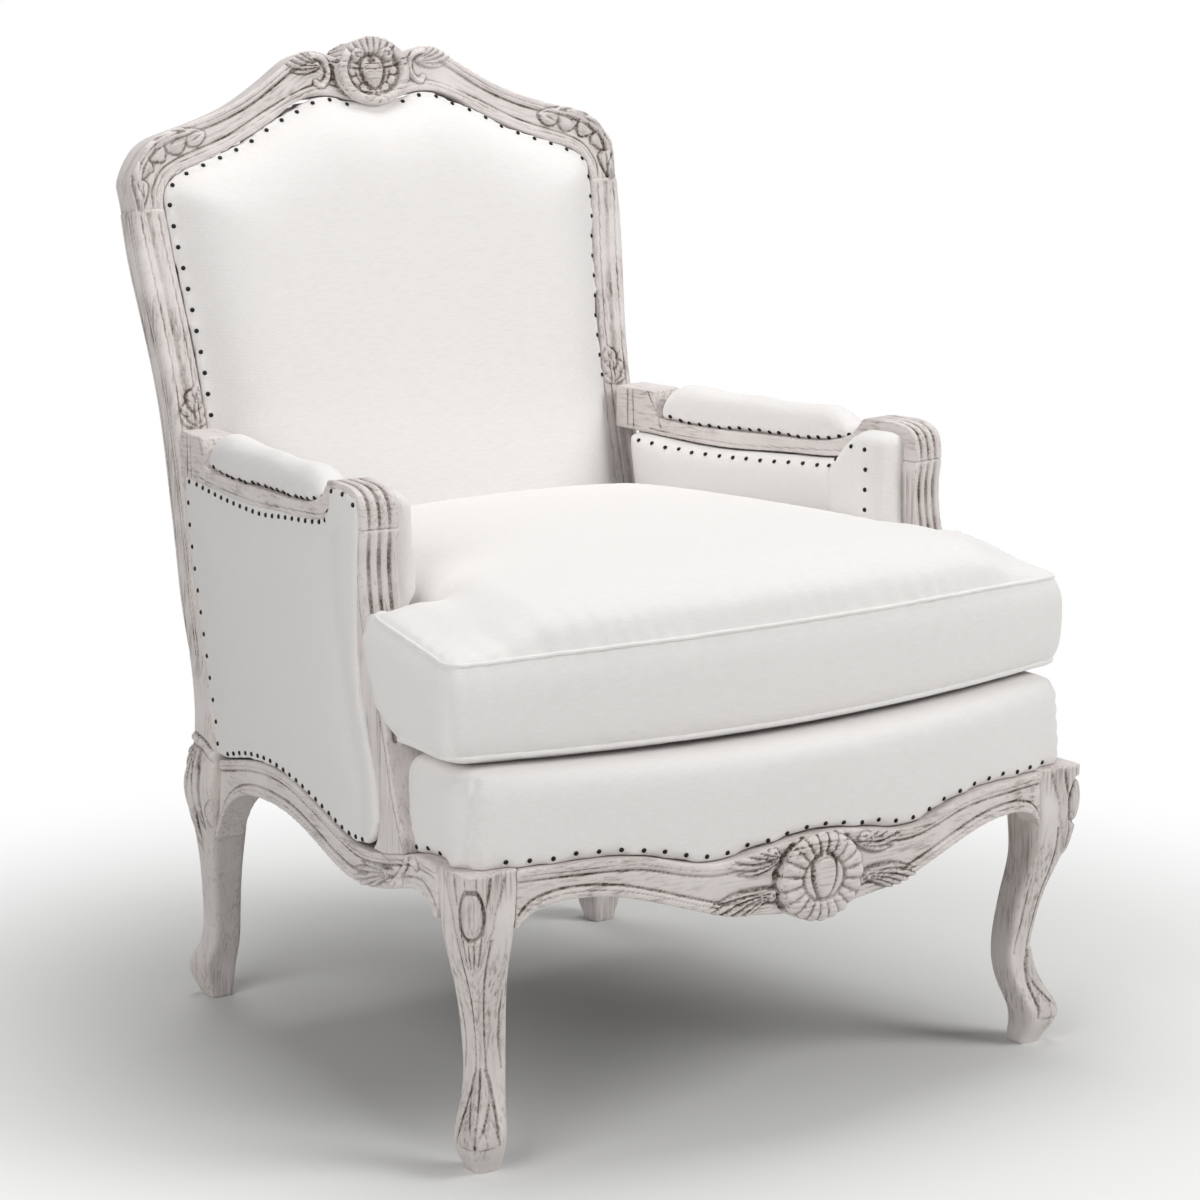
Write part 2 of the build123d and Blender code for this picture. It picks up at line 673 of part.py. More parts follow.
# Dowels: each joint has a pair, given by its middle, its direction and the step between the two
up_back = Vector(0, RAKE_SIN, RAKE_COS)
rail_mid_y = FRONT_RAIL_END_Y + RAIL_DEPTH / 2
side_mid = SIDE_RAIL_INSET + RAIL_DEPTH / 2
arm_mid = ARM_WIDTH / 2
leg_back_u = (FRONT_LEG_Y + KNEE_WIDTH / 2 - SIDE_FRONT_Y) / SIDE_ALONG.Y
post_u = (BACK_KNEE_Y - 24.0 - SIDE_FRONT_Y) / SIDE_ALONG.Y
arm_post_y = back_face_y(ARM_LOW + 26.0)
arm_post_u = (arm_post_y - SIDE_FRONT_Y) / SIDE_ALONG.Y
seat_joints = (
    (Vector(FRONT_RAIL_END_X, rail_mid_y, FRONT_RAIL_TOP - 19.0), Vector(1, 0, 0), Vector(0, 0, 18)),
    (side_point(leg_back_u, FRONT_RAIL_TOP - 19.0, side_mid), SIDE_ALONG, Vector(0, 0, 17)),
    (side_point(post_u, FRONT_RAIL_TOP - 20.0, side_mid), SIDE_ALONG, SIDE_OUT * 15),
    (
        Vector(BACK_KNEE_X - 27.0, BACK_KNEE_Y, 0.5 * (REAR_RAIL_LOW + REAR_RAIL_TOP)),
        Vector(1, 0, 0),
        Vector(0, 0, 18),
    ),
)
bottom_mid_z = 0.5 * (BOTTOM_RAIL_LOW + BOTTOM_RAIL_TOP)
back_joints = (
    (
        Vector(OPENING_SIDE + 4.0, back_face_y(bottom_mid_z) + BOTTOM_RAIL_DEPTH / 2, bottom_mid_z),
        Vector(1, 0, 0),
        up_back * 22,
    ),
    (
        Vector(SHOULDER_X - STILE_WIDTH / 2, back_face_y(CREST_JOINT_Z) + CREST_DEPTH / 2, CREST_JOINT_Z),
        up_back,
        Vector(17, 0, 0),
    ),
)
arm_joints = (
    (side_point(arm_post_u, ARM_LOW + 26.0, arm_mid), SIDE_ALONG, Vector(0, 0, 19)),
    (side_point(155, ARM_JOINT_Z, arm_mid), Vector(0, 0, 1), SIDE_OUT * 17),
    (side_point(86, FRONT_RAIL_TOP - 11.0, side_mid), Vector(0, 0, 1), SIDE_OUT * 16),
)


def dowel_pair(joint, diameter, length):
    middle, direction, step = joint
    for sign in (-0.5, 0.5):
        with Locations(Plane(origin=middle + step * sign, z_dir=direction)):
            Cylinder(diameter / 2, length)


def bore_group(joints):
    with BuildPart() as group:
        for joint in joints:
            dowel_pair(joint, DOWEL_DIAMETER + DOWEL_CLEARANCE, DOWEL_LENGTH + 2.0)
    return group


front_bores = bore_group(seat_joints[:2])
rear_bores = bore_group(seat_joints[2:] + back_joints + arm_joints[:1])
side_bores = bore_group(seat_joints[1:3] + arm_joints[2:])
support_bores = bore_group(arm_joints[1:])
arm_bores = bore_group(arm_joints[:2])

with BuildPart() as seat_frame_dowels:
    for joint in seat_joints:
        dowel_pair(joint, DOWEL_DIAMETER, DOWEL_LENGTH)
    mirror(about=Plane.YZ)
with BuildPart() as back_frame_dowels:
    for joint in back_joints:
        dowel_pair(joint, DOWEL_DIAMETER, DOWEL_LENGTH)
    mirror(about=Plane.YZ)
with BuildPart() as arm_dowels:
    for joint in arm_joints:
        dowel_pair(joint, DOWEL_DIAMETER, DOWEL_LENGTH)
    mirror(about=Plane.YZ)

# Wooden members, bored for their dowels
with BuildPart() as front_leg_left:
    add(front_leg_form.part)
    add(front_bores.part, mode=Mode.SUBTRACT)
with BuildPart() as back_post_left:
    add(back_post_form.part)
    add(rear_bores.part, mode=Mode.SUBTRACT)
with BuildPart() as side_seat_rail_left:
    add(side_rail_form.part)
    add(side_bores.part, mode=Mode.SUBTRACT)
with BuildPart() as arm_support_left:
    add(arm_support_form.part)
    add(support_bores.part, mode=Mode.SUBTRACT)
with BuildPart() as arm_left:
    add(arm_form.part)
    add(arm_bores.part, mode=Mode.SUBTRACT)
with BuildPart() as front_seat_rail:
    add(front_rail_form.part)
    add(both_sides(bore_group(seat_joints[:1])), mode=Mode.SUBTRACT)
with BuildPart() as rear_seat_rail:
    add(rear_rail_form.part)
    add(both_sides(bore_group(seat_joints[3:])), mode=Mode.SUBTRACT)
with BuildPart() as crest_rail:
    add(crest_form.part)
    add(both_sides(bore_group(back_joints[1:])), mode=Mode.SUBTRACT)
with BuildPart() as back_bottom_rail:
    add(bottom_rail_form.part)
    add(both_sides(bore_group(back_joints[:1])), mode=Mode.SUBTRACT)

# Closed sides: a taut outer panel and a crowned inner pad fill each side frame
side_opening = (
    (112, 296),
    (112, 345),
    (140, 420),
    (166, 500),
    (164, ARM_JOINT_Z - 2),
    (164, ARM_JOINT_Z + 8),
    (205, ARM_JOINT_Z + 20),
    (228, ARM_LOW + 24),
    (420, ARM_LOW + 12),
    (598, ARM_LOW + 14),
    (574, 450),
    (535, 345),
    (530, 290),
    (450, 290),
    (330, 290),
    (200, 272),
)
with BuildPart() as side_outer_panel_left:
    with BuildSketch(SIDE_PLANE.offset(-SIDE_PANEL_DEPTH)):
        with BuildLine():
            Polyline(*side_opening, close=True)
        make_face()
    extrude(amount=-SIDE_PANEL_THICKNESS)
    add(side_wood_prism.part, mode=Mode.SUBTRACT)
    add(back_post_form.part, mode=Mode.SUBTRACT)

side_pad_levels = (
    (SIDE_PAD_START, 0.0),
    (ARM_WIDTH + 4.0, 0.0),
    (SIDE_PAD_DEPTH - 6.0, 9.0),
    (SIDE_PAD_DEPTH, 32.0),
)
with BuildPart() as side_inner_pad_left:
    for depth, inset in side_pad_levels:
        with BuildSketch(SIDE_PLANE.offset(-depth)):
            with BuildLine():
                Polyline(
                    (114 + inset, SIDE_PAD_LOW),
                    (535 - inset, SIDE_PAD_LOW),
                    (574 - inset, ARM_LOW + 14 - inset),
                    (236 + inset, ARM_LOW + 16 - inset),
                    (208 + inset, ARM_JOINT_Z + 17 - inset),
                    (182 + inset, ARM_JOINT_Z + 14 - inset),
                    close=True,
                )
            make_face()
    loft()
    add(side_wood_prism.part, mode=Mode.SUBTRACT)
    add(back_post_form.part, mode=Mode.SUBTRACT)

# Arm pads: domed lofts along the arm
arm_pad_width = ARM_WIDTH - 3.0
arm_pad_rise = ARM_PAD_TOP - ARM_CRADLE - 2.0
arm_pad_stations = ((0.0, 0.62), (0.05, 0.86), (0.16, 1.0), (0.84, 1.0), (0.95, 0.86), (1.0, 0.62))
with BuildPart() as arm_pad_left:
    for share, swell in arm_pad_stations:
        along = ARM_PAD_FRONT + share * (ARM_PAD_BACK - ARM_PAD_FRONT)
        half = arm_pad_width / 2 * (0.8 + 0.2 * swell)
        base = ARM_CRADLE - 1.0
        side = ARM_CRADLE + 2.0 + 0.35 * swell * arm_pad_rise
        crown = ARM_CRADLE + 2.0 + swell * arm_pad_rise
        with BuildSketch(Plane(origin=side_point(along, 0, arm_mid), x_dir=SIDE_OUT, z_dir=-SIDE_ALONG)):
            with BuildLine():
                Line((-half, base), (half, base))
                Line((half, base), (half, side))
                ThreePointArc((half, side), (0, crown), (-half, side))
                Line((-half, side), (-half, base))
            make_face()
    loft()
    add(arm_form.part, mode=Mode.SUBTRACT)

# Back upholstery: crowned pad, webbing behind it and a flat outer panel
back_pad_levels = (
    (0.0, PAD_CLEARANCE),
    (0.35 * BACK_PAD_CROWN, 5.0),
    (0.75 * BACK_PAD_CROWN, 26.0),
    (BACK_PAD_CROWN, 74.0),
)
with BuildPart() as back_pad:
    with BuildSketch(BACK_PLANE.offset(-12.0)):
        make_face(back_opening(BACK_PAD_LOW, PAD_CLEARANCE))
    extrude(amount=12.0)
    for forward, inset in back_pad_levels:
        with BuildSketch(BACK_PLANE.offset(forward)):
            make_face(back_opening(BACK_PAD_LOW, inset))
    loft()
    with BuildSketch(BACK_PLANE):
        with Locations(back_point(0, CARTOUCHE_TOP - CARTOUCHE_HEIGHT / 2)):
            Ellipse(CARTOUCHE_WIDTH / 2 + PAD_CLEARANCE, CARTOUCHE_HEIGHT / 2 / RAKE_COS + PAD_CLEARANCE)
    extrude(amount=2 * BACK_PAD_CROWN, mode=Mode.SUBTRACT)
    add(both_sides(side_inner_pad_left), mode=Mode.SUBTRACT)

with BuildPart() as back_webbing:
    with BuildSketch(BACK_PLANE.offset(-12.0)):
        make_face(back_opening(BACK_PAD_LOW, PAD_CLEARANCE))
        with BuildSketch(Plane.XY, mode=Mode.PRIVATE) as back_straps:
            with Locations(back_point(0, BACK_PAD_LOW + 265.0)):
                with GridLocations(10, 150, 1, 3):
                    Rectangle(REACH, STRAP_WIDTH)
        add(back_straps.sketch, mode=Mode.INTERSECT)
    extrude(amount=-STRAP_THICKNESS)
    with BuildSketch(BACK_PLANE.offset(-12.0 - STRAP_THICKNESS)):
        make_face(back_opening(BACK_PAD_LOW, PAD_CLEARANCE))
        with BuildSketch(Plane.XY, mode=Mode.PRIVATE) as back_uprights:
            with GridLocations(140, 10, 3, 1):
                Rectangle(STRAP_WIDTH, REACH)
        add(back_uprights.sketch, mode=Mode.INTERSECT)
    extrude(amount=-STRAP_THICKNESS)

with BuildPart() as back_outer_panel:
    with BuildSketch(BACK_PLANE.offset(3.0 - CREST_DEPTH)):
        make_face(back_opening(BACK_PAD_LOW, PAD_CLEARANCE))
    extrude(amount=BACK_PANEL_THICKNESS)

# Tight seat deck: its border stands on the rails in front of the arm supports
deck_ear_y = SIDE_FRONT_Y + 66.0
deck_back_y = back_face_y(BOTTOM_RAIL_LOW) - PAD_CLEARANCE


def deck_outline():
    half = DECK_HALF_WIDTH
    front = bow_y(half, DECK_SETBACK)
    ear_half = side_x(deck_ear_y) - 6.0
    notch = side_x(deck_ear_y) - ARM_WIDTH
    back_half = side_x(deck_back_y) - ARM_WIDTH - 6.0
    with BuildLine() as outline:
        ThreePointArc((-half, front), (0, bow_y(0, DECK_SETBACK)), (half, front))
        Polyline((half, front), (ear_half, deck_ear_y), (notch, deck_ear_y), (back_half, deck_back_y))
        Line((back_half, deck_back_y), (-back_half, deck_back_y))
        Polyline((-back_half, deck_back_y), (-notch, deck_ear_y), (-ear_half, deck_ear_y), (-half, front))
    return outline.edges()


with BuildPart() as seat_deck_pad:
    with BuildSketch(Plane.XY.offset(DECK_SKIRT_LOW)) as deck_plan:
        make_face(deck_outline())
        fillet(deck_plan.vertices().group_by(Axis.Y)[0], DECK_CORNER)
    extrude(amount=DECK_TOP - DECK_SKIRT_LOW)
    deck_rim = edges().group_by(Axis.Z)[-1].filter_by(lambda edge: edge.center().Y < deck_ear_y - 20.0)
    fillet(deck_rim, DECK_ROUND)
    with BuildSketch(Plane.XY.offset(DECK_SKIRT_LOW - 20.0)):
        make_face(cavity_outline(0.0))
    extrude(
        amount=CLEAT_TOP + 2 * STRAP_THICKNESS + PAD_CLEARANCE - DECK_SKIRT_LOW + 20.0,
        mode=Mode.SUBTRACT,
    )
    add(seat_wood, mode=Mode.SUBTRACT)
    add(both_sides(arm_support_form), mode=Mode.SUBTRACT)
    add(both_sides(side_inner_pad_left), mode=Mode.SUBTRACT)
    deck_body = solids().sort_by(SortBy.VOLUME)[-1]
    add(deck_body, mode=Mode.REPLACE)

# Loose cushion: a crowned T whose ears stop in front of the leaning arm supports
cushion_back_y = back_face_y(CUSHION_LOW) - 0.6 * BACK_PAD_CROWN - CUSHION_GAP


def cushion_outline(inset, ear):
    front = CUSHION_FRONT_Y + inset
    half = CUSHION_HALF_WIDTH - inset
    notch = side_x(ear) - SIDE_PAD_DEPTH - CUSHION_GAP - min(inset, 12.0) - 0.3 * max(inset - 12.0, 0.0)
    back = cushion_back_y - inset
    back_half = side_x(back) - SIDE_PAD_DEPTH - CUSHION_GAP - inset
    with BuildLine() as outline:
        ThreePointArc((-half, front), (0, front - CUSHION_BOW), (half, front))
        Polyline((half, front), (half - 4.0, ear), (notch, ear), (back_half, back))
        Line((back_half, back), (-back_half, back))
        Polyline((-back_half, back), (-notch, ear), (-half + 4.0, ear), (-half, front))
    return outline.edges()


edge_rise = CUSHION_EDGE - CUSHION_LOW
crown_rise = CUSHION_TOP - CUSHION_EDGE
cushion_levels = (
    (CUSHION_LOW, 20.0),
    (CUSHION_LOW + 0.04 * edge_rise, 7.0),
    (CUSHION_LOW + 0.14 * edge_rise, 0.0),
    (CUSHION_LOW + 0.55 * edge_rise, -3.0),
    (CUSHION_LOW + 0.92 * edge_rise, 0.0),
    (CUSHION_EDGE, 4.0),
    (CUSHION_EDGE + 0.50 * crown_rise, 32.0),
    (CUSHION_EDGE + 0.85 * crown_rise, 62.0),
    (CUSHION_TOP, 88.0),
)
with BuildPart() as seat_cushion:
    for height, inset in cushion_levels:
        lean = (min(height, CUSHION_EDGE) - CUSHION_LOW) * 0.40
        ear = SIDE_FRONT_Y + 68.0 + lean - 0.25 * max(inset, 0.0)
        with BuildSketch(Plane.XY.offset(height)) as cushion_level:
            make_face(cushion_outline(inset, ear))
            corner = CUSHION_CORNER * (1.0 - 0.006 * max(inset, 0.0))
            fillet(cushion_level.vertices().group_by(Axis.Y)[0], corner)
    loft()

# Right-hand pieces
with BuildPart() as front_leg_right:
    mirror(front_leg_left.part, about=Plane.YZ)
with BuildPart() as back_post_right:
    mirror(back_post_left.part, about=Plane.YZ)
with BuildPart() as side_seat_rail_right:
    mirror(side_seat_rail_left.part, about=Plane.YZ)
with BuildPart() as arm_support_right:
    mirror(arm_support_left.part, about=Plane.YZ)
with BuildPart() as arm_right:
    mirror(arm_left.part, about=Plane.YZ)
with BuildPart() as side_outer_panel_right:
    mirror(side_outer_panel_left.part, about=Plane.YZ)
with BuildPart() as side_inner_pad_right:
    mirror(side_inner_pad_left.part, about=Plane.YZ)
with BuildPart() as arm_pad_right:
    mirror(arm_pad_left.part, about=Plane.YZ)

export_step(front_leg_left.part, "parts/front_leg_left.step")
export_step(front_leg_right.part, "parts/front_leg_right.step")
export_step(back_post_left.part, "parts/back_post_left.step")
export_step(back_post_right.part, "parts/back_post_right.step")
export_step(front_seat_rail.part, "parts/front_seat_rail.step")
export_step(side_seat_rail_left.part, "parts/side_seat_rail_left.step")
export_step(side_seat_rail_right.part, "parts/side_seat_rail_right.step")
export_step(rear_seat_rail.part, "parts/rear_seat_rail.step")
export_step(crest_rail.part, "parts/crest_rail.step")
export_step(back_bottom_rail.part, "parts/back_bottom_rail.step")
export_step(arm_support_left.part, "parts/arm_support_left.step")
export_step(arm_support_right.part, "parts/arm_support_right.step")
export_step(arm_left.part, "parts/arm_left.step")
export_step(arm_right.part, "parts/arm_right.step")
export_step(corner_blocks.part, "parts/corner_blocks.step")
export_step(seat_cleats.part, "parts/seat_cleats.step")
export_step(seat_frame_dowels.part, "parts/seat_frame_dowels.step")
export_step(back_frame_dowels.part, "parts/back_frame_dowels.step")
export_step(arm_dowels.part, "parts/arm_dowels.step")
export_step(seat_webbing.part, "parts/seat_webbing.step")
export_step(dust_cover.part, "parts/dust_cover.step")
export_step(seat_deck_pad.part, "parts/seat_deck_pad.step")
export_step(back_pad.part, "parts/back_pad.step")
export_step(back_webbing.part, "parts/back_webbing.step")
export_step(back_outer_panel.part, "parts/back_outer_panel.step")
export_step(side_inner_pad_left.part, "parts/side_inner_pad_left.step")
export_step(side_inner_pad_right.part, "parts/side_inner_pad_right.step")
export_step(side_outer_panel_left.part, "parts/side_outer_panel_left.step")
export_step(side_outer_panel_right.part, "parts/side_outer_panel_right.step")
export_step(arm_pad_left.part, "parts/arm_pad_left.step")
export_step(arm_pad_right.part, "parts/arm_pad_right.step")
export_step(seat_cushion.part, "parts/seat_cushion.step")
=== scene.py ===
"""A closed-side Louis XV armchair: carved and painted show wood, cotton upholstery and iron nails."""
import math

import bmesh
import bpy
import numpy as np
from bpy.props import FloatProperty, FloatVectorProperty, IntProperty, PointerProperty
from mathutils import Matrix, Vector
from mathutils.bvhtree import BVHTree


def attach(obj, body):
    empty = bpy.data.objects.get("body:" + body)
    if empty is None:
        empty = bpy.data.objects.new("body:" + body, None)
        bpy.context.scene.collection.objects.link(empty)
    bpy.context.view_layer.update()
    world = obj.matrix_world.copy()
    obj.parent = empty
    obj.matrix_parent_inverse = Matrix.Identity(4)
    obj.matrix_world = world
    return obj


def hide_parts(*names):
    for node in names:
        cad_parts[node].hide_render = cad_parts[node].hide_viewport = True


bl_info = {
    "name": "Louis XV bergere",
    "version": (1, 0, 0),
    "blender": (4, 5, 0),
    "location": "3D View > Sidebar > Bergere",
    "description": "Carved frame, upholstery, nails and studio of a closed-side armchair",
    "category": "Object",
}

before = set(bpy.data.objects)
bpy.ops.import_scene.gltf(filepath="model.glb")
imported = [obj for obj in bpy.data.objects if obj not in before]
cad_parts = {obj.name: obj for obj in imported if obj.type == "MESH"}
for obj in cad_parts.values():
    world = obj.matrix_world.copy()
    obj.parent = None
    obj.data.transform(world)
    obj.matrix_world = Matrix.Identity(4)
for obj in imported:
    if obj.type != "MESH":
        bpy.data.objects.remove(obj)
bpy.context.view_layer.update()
MM = 0.001


def linear(code):
    """An sRGB hex colour as linear RGBA."""
    parts = [int(code[i:i + 2], 16) / 255 for i in (1, 3, 5)]
    return [c / 12.92 if c <= 0.04045 else ((c + 0.055) / 1.055) ** 2.4 for c in parts] + [1.0]


def colour(code, name, description):
    return FloatVectorProperty(
        name=name, description=description, subtype="COLOR", size=4, min=0, max=1, default=linear(code)
    )


def length(metres, name, description):
    return FloatProperty(
        name=name, description=description, default=metres, min=0, unit="LENGTH", precision=4
    )


# Sizes and colours that a user would change
class ShowWoodSettings(bpy.types.PropertyGroup):
    """Carved and painted wood."""

    paint: colour("#F2EDEB", "Paint", "Off-white paint on the show wood")
    paint_shade: colour("#D0C6C2", "Paint shade", "Where the paint lies thin and greyer")
    glaze: colour("#4A392F", "Glaze", "Umber glaze left in hollows and brush marks")
    bare: colour("#B59A84", "Bare wood", "Beech that shows where the paint is rubbed through")
    grid: length(0.00142, "Carving grid", "Spacing of the mesh that is carved")
    leaf_rise: length(0.0045, "Leaf height", "How far the carved leaves stand out")


class CoverSettings(bpy.types.PropertyGroup):
    """Cotton cover and its stuffing."""

    cotton: colour("#F4F2F1", "Cotton", "Plain white cotton and linen cover")
    # The thread colour is painted shade, laid where the threads and slubs of the weave lie low
    thread: colour("#E2DCD6", "Thread shade", "Thread hollows of the cover")
    welt: length(0.0058, "Welt", "Diameter of the cushion's piping")
    pressure: FloatProperty(name="Stuffing pressure", description="Pressure in the cloth pass", default=4.0)
    steps: IntProperty(name="Cloth steps", description="Frames that the cloth runs for", default=16)


class NailSettings(bpy.types.PropertyGroup):
    """Upholstery nails."""

    iron: colour("#14120F", "Iron", "Blackened iron nail heads")
    head: length(0.0052, "Head", "Diameter of a nail head")
    dome: FloatProperty(name="Dome", description="Height of a head as a share of its radius", default=0.6)


class StudioSettings(bpy.types.PropertyGroup):
    """Camera and light."""

    floor: colour("#E9E9E7", "Floor", "Pale studio floor")
    azimuth: FloatProperty(
        name="Azimuth", description="Camera turn", default=math.radians(-36), subtype="ANGLE"
    )
    elevation: FloatProperty(
        name="Elevation", description="Camera height angle", default=math.radians(11.385), subtype="ANGLE"
    )
    distance: length(4.264, "Distance", "Camera to the middle of the chair")
    lens: FloatProperty(name="Lens", description="Focal length in mm on a 36 mm sensor", default=121.3)


# Flat views of the chair's own planes, in millimetres
class Face:
    """A plane with its own across, up and outward directions."""

    def __init__(self, origin, across, up):
        self.origin = np.array(origin, float)
        self.across = np.array(across, float) / np.linalg.norm(across)
        self.up = np.array(up, float) / np.linalg.norm(up)
        self.out = np.cross(self.across, self.up)

    def flat(self, places):
        away = places - self.origin
        return np.stack([away @ self.across, away @ self.up, away @ self.out], 1)

    def solid(self, points, out=0.0):
        points = np.asarray(points, float)
        return self.origin + points[:, :1] * self.across + points[:, 1:2] * self.up + out * self.out


# Lean of the back, and the spot of its face where that lean starts
RAKE = math.radians(12.5)
BACK_FOOT = (0, 262, 450)
BACK = Face(BACK_FOOT, (1, 0, 0), (0, math.sin(RAKE), math.cos(RAKE)))
SIDE = Face((391, -304, 0), (-81, 578, 0), (0, 0, 1))
FRONT = Face((0, -422, 0), (1, 0, 0), (0, 0, 1))
KNEE = Face((360, -348, 0), (1, 1, 0), (0, 0, 1))


def rise(height):
    """Distance up the raked back for a height above the floor."""
    return (height - BACK_FOOT[2]) / math.cos(RAKE)


def raked(points):
    """Spots of the raked back, each from its distance across and its height above the floor."""
    return [(across, rise(height)) for across, height in points]


def smooth_path(points, step=4.0):
    """A smooth line through points, with a spot about every step millimetres."""
    points = np.array(points, float)
    ends = np.concatenate([[2 * points[0] - points[1]], points, [2 * points[-1] - points[-2]]])
    spots = []
    for a, b, c, d in zip(ends, ends[1:], ends[2:], ends[3:]):
        count = max(2, int(np.linalg.norm(c - b) / step))
        for t in np.arange(count) / count:
            bend = 2 * a - 5 * b + 4 * c - d
            twist = 3 * b - a - 3 * c + d
            spots.append(0.5 * (2 * b + (c - a) * t + bend * t * t + twist * t ** 3))
    return np.array(spots + [points[-1]])


def near_path(points, path):
    """How far along a path each flat point lies, how far to its left, and the path's length."""
    gap = np.full(len(points), 1e9)
    along = np.zeros(len(points))
    left = np.ones(len(points))
    run = 0.0
    for a, b in zip(path[:-1], path[1:]):
        way = b - a
        size = math.hypot(*way)
        share = np.clip((points - a) @ way / size ** 2, 0, 1)
        off = points - a - share[:, None] * way
        far = np.hypot(off[:, 0], off[:, 1])
        near = far < gap
        gap[near] = far[near]
        along[near] = run + share[near] * size
        left[near] = np.sign(way[0] * off[:, 1] - way[1] * off[:, 0])[near]
        run += size
    return along, gap * left, run


def volute(centre, size, start, turns):
    """A spiral that winds in to its centre from a start angle."""
    share = np.linspace(0, 1, int(22 * abs(turns)))
    angle = start + 2 * math.pi * turns * share
    reach = size * (1 - 0.85 * share)
    return np.array(centre) + reach[:, None] * np.stack([np.cos(angle), np.sin(angle)], 1)


def both_sides(path):
    """A left-hand path that ends in the middle, run on over the right-hand side."""
    return np.concatenate([path, (path * (-1, 1))[-2::-1]])


def bump(distance, width):
    """One at the middle, fading to nothing at half the width."""
    return np.where(np.abs(distance) < width / 2, np.cos(np.pi * distance / width) ** 2, 0.0)


def step_up(value, low, high):
    """Nothing up to a low value, one from a high one, and a smooth rise between them."""
    share = np.clip((value - low) / (high - low), 0, 1)
    return share * share * (3 - 2 * share)


# Outlines shared by the carving, the nails and the seams
OPENING = smooth_path(
    raked([
        (266, 420), (265.5, 645), (272, 760), (283, 868), (278, 894), (258, 910), (190, 932), (125, 962),
        (72, 981), (36, 976), (0, 972.5),
    ])
)
CREST_OUTER = smooth_path(
    raked([
        (323, 872), (317, 912), (301, 935), (277, 949), (247, 958), (200, 971), (155, 990), (102, 1021),
        (70, 1031), (42, 1022), (0, 1018),
    ])
)
FRONT_RAIL_TOP = smooth_path(
    [(0, 300), (70, 293), (118, 286), (160, 292), (205, 303), (262, 306), (344, 305)]
)
FRONT_RAIL_LOW = smooth_path(
    [
        (0, 221), (72, 227), (112, 232), (150, 243), (190, 256), (232, 267), (275, 271), (306, 267),
        (324, 258), (336, 242), (344, 217),
    ]
)
SIDE_RAIL_TOP = smooth_path(
    [
        (-30, 303), (35, 305), (64, 299), (117, 288), (165, 284), (223, 293), (294, 309), (363, 318),
        (433, 313), (511, 297), (546, 291),
    ]
)
SIDE_RAIL_LOW = smooth_path(
    [
        (-30, 213), (-14, 251), (10, 269), (32, 271), (64, 264), (127, 250), (174, 246), (224, 253),
        (266, 264), (333, 277), (404, 278), (455, 270), (490, 254), (512, 234), (530, 205),
    ]
)
SUPPORT_FRONT = smooth_path(
    [(45, 309), (57, 331), (71, 362), (84, 405), (104, 452), (128, 502), (139, 545), (141, 585), (138, 606)]
)
ARM_UNDER = smooth_path([(216, 609), (240, 602), (324, 595), (420, 589), (506, 590), (545, 592)])
# The carved lip of an arm stands a little higher than its blank
ARM_LIP_LIFT = 8.0
BASE_SCROLL = smooth_path([(52, 322), (44, 309), (51, 295), (64, 281), (83, 265)])
# The outer cover of a side: along the rail, up the post, under the arm, over the lip and down the support
COVER = np.array(
    [
        (119, 300), (137, 291), (169, 287), (201, 291), (223, 296), (294, 311), (363, 320), (433, 315),
        (490, 303), (526, 300), (531, 330), (537, 350), (562, 430), (585, 505), (594, 550), (597, 595),
        (545, 595), (506, 593), (420, 592), (324, 598), (240, 605), (222, 609), (213, 618), (210, 640),
        (190, 641), (165, 640), (147, 636), (143, 617), (146, 576), (148, 536), (148, 486), (143, 437),
        (121, 386), (108, 354), (105, 320),
    ],
    float,
)
# The inner pad wraps the support's inner face up to the lip
INNER_WRAP = np.array(
    [
        (140, 470), (146, 500), (153, 545), (155, 585), (153, 626), (157, 635), (175, 638), (205, 638),
        (212, 617), (236, 604), (262, 560), (250, 480), (190, 460),
    ],
    float,
)


# Carving
# The least that a surface looks a face's way to take a carving drawn on that face
CARVED_SLOPE = 0.2


def places_of(mesh):
    """The places of a mesh's vertices, in metres."""
    places = np.zeros(len(mesh.vertices) * 3)
    mesh.vertices.foreach_get("co", places)
    return places.reshape(-1, 3)


def surface_of(mesh):
    """A mesh's surface, to find the nearest place on it."""
    return BVHTree.FromPolygons([v.co for v in mesh.vertices], [p.vertices for p in mesh.polygons])


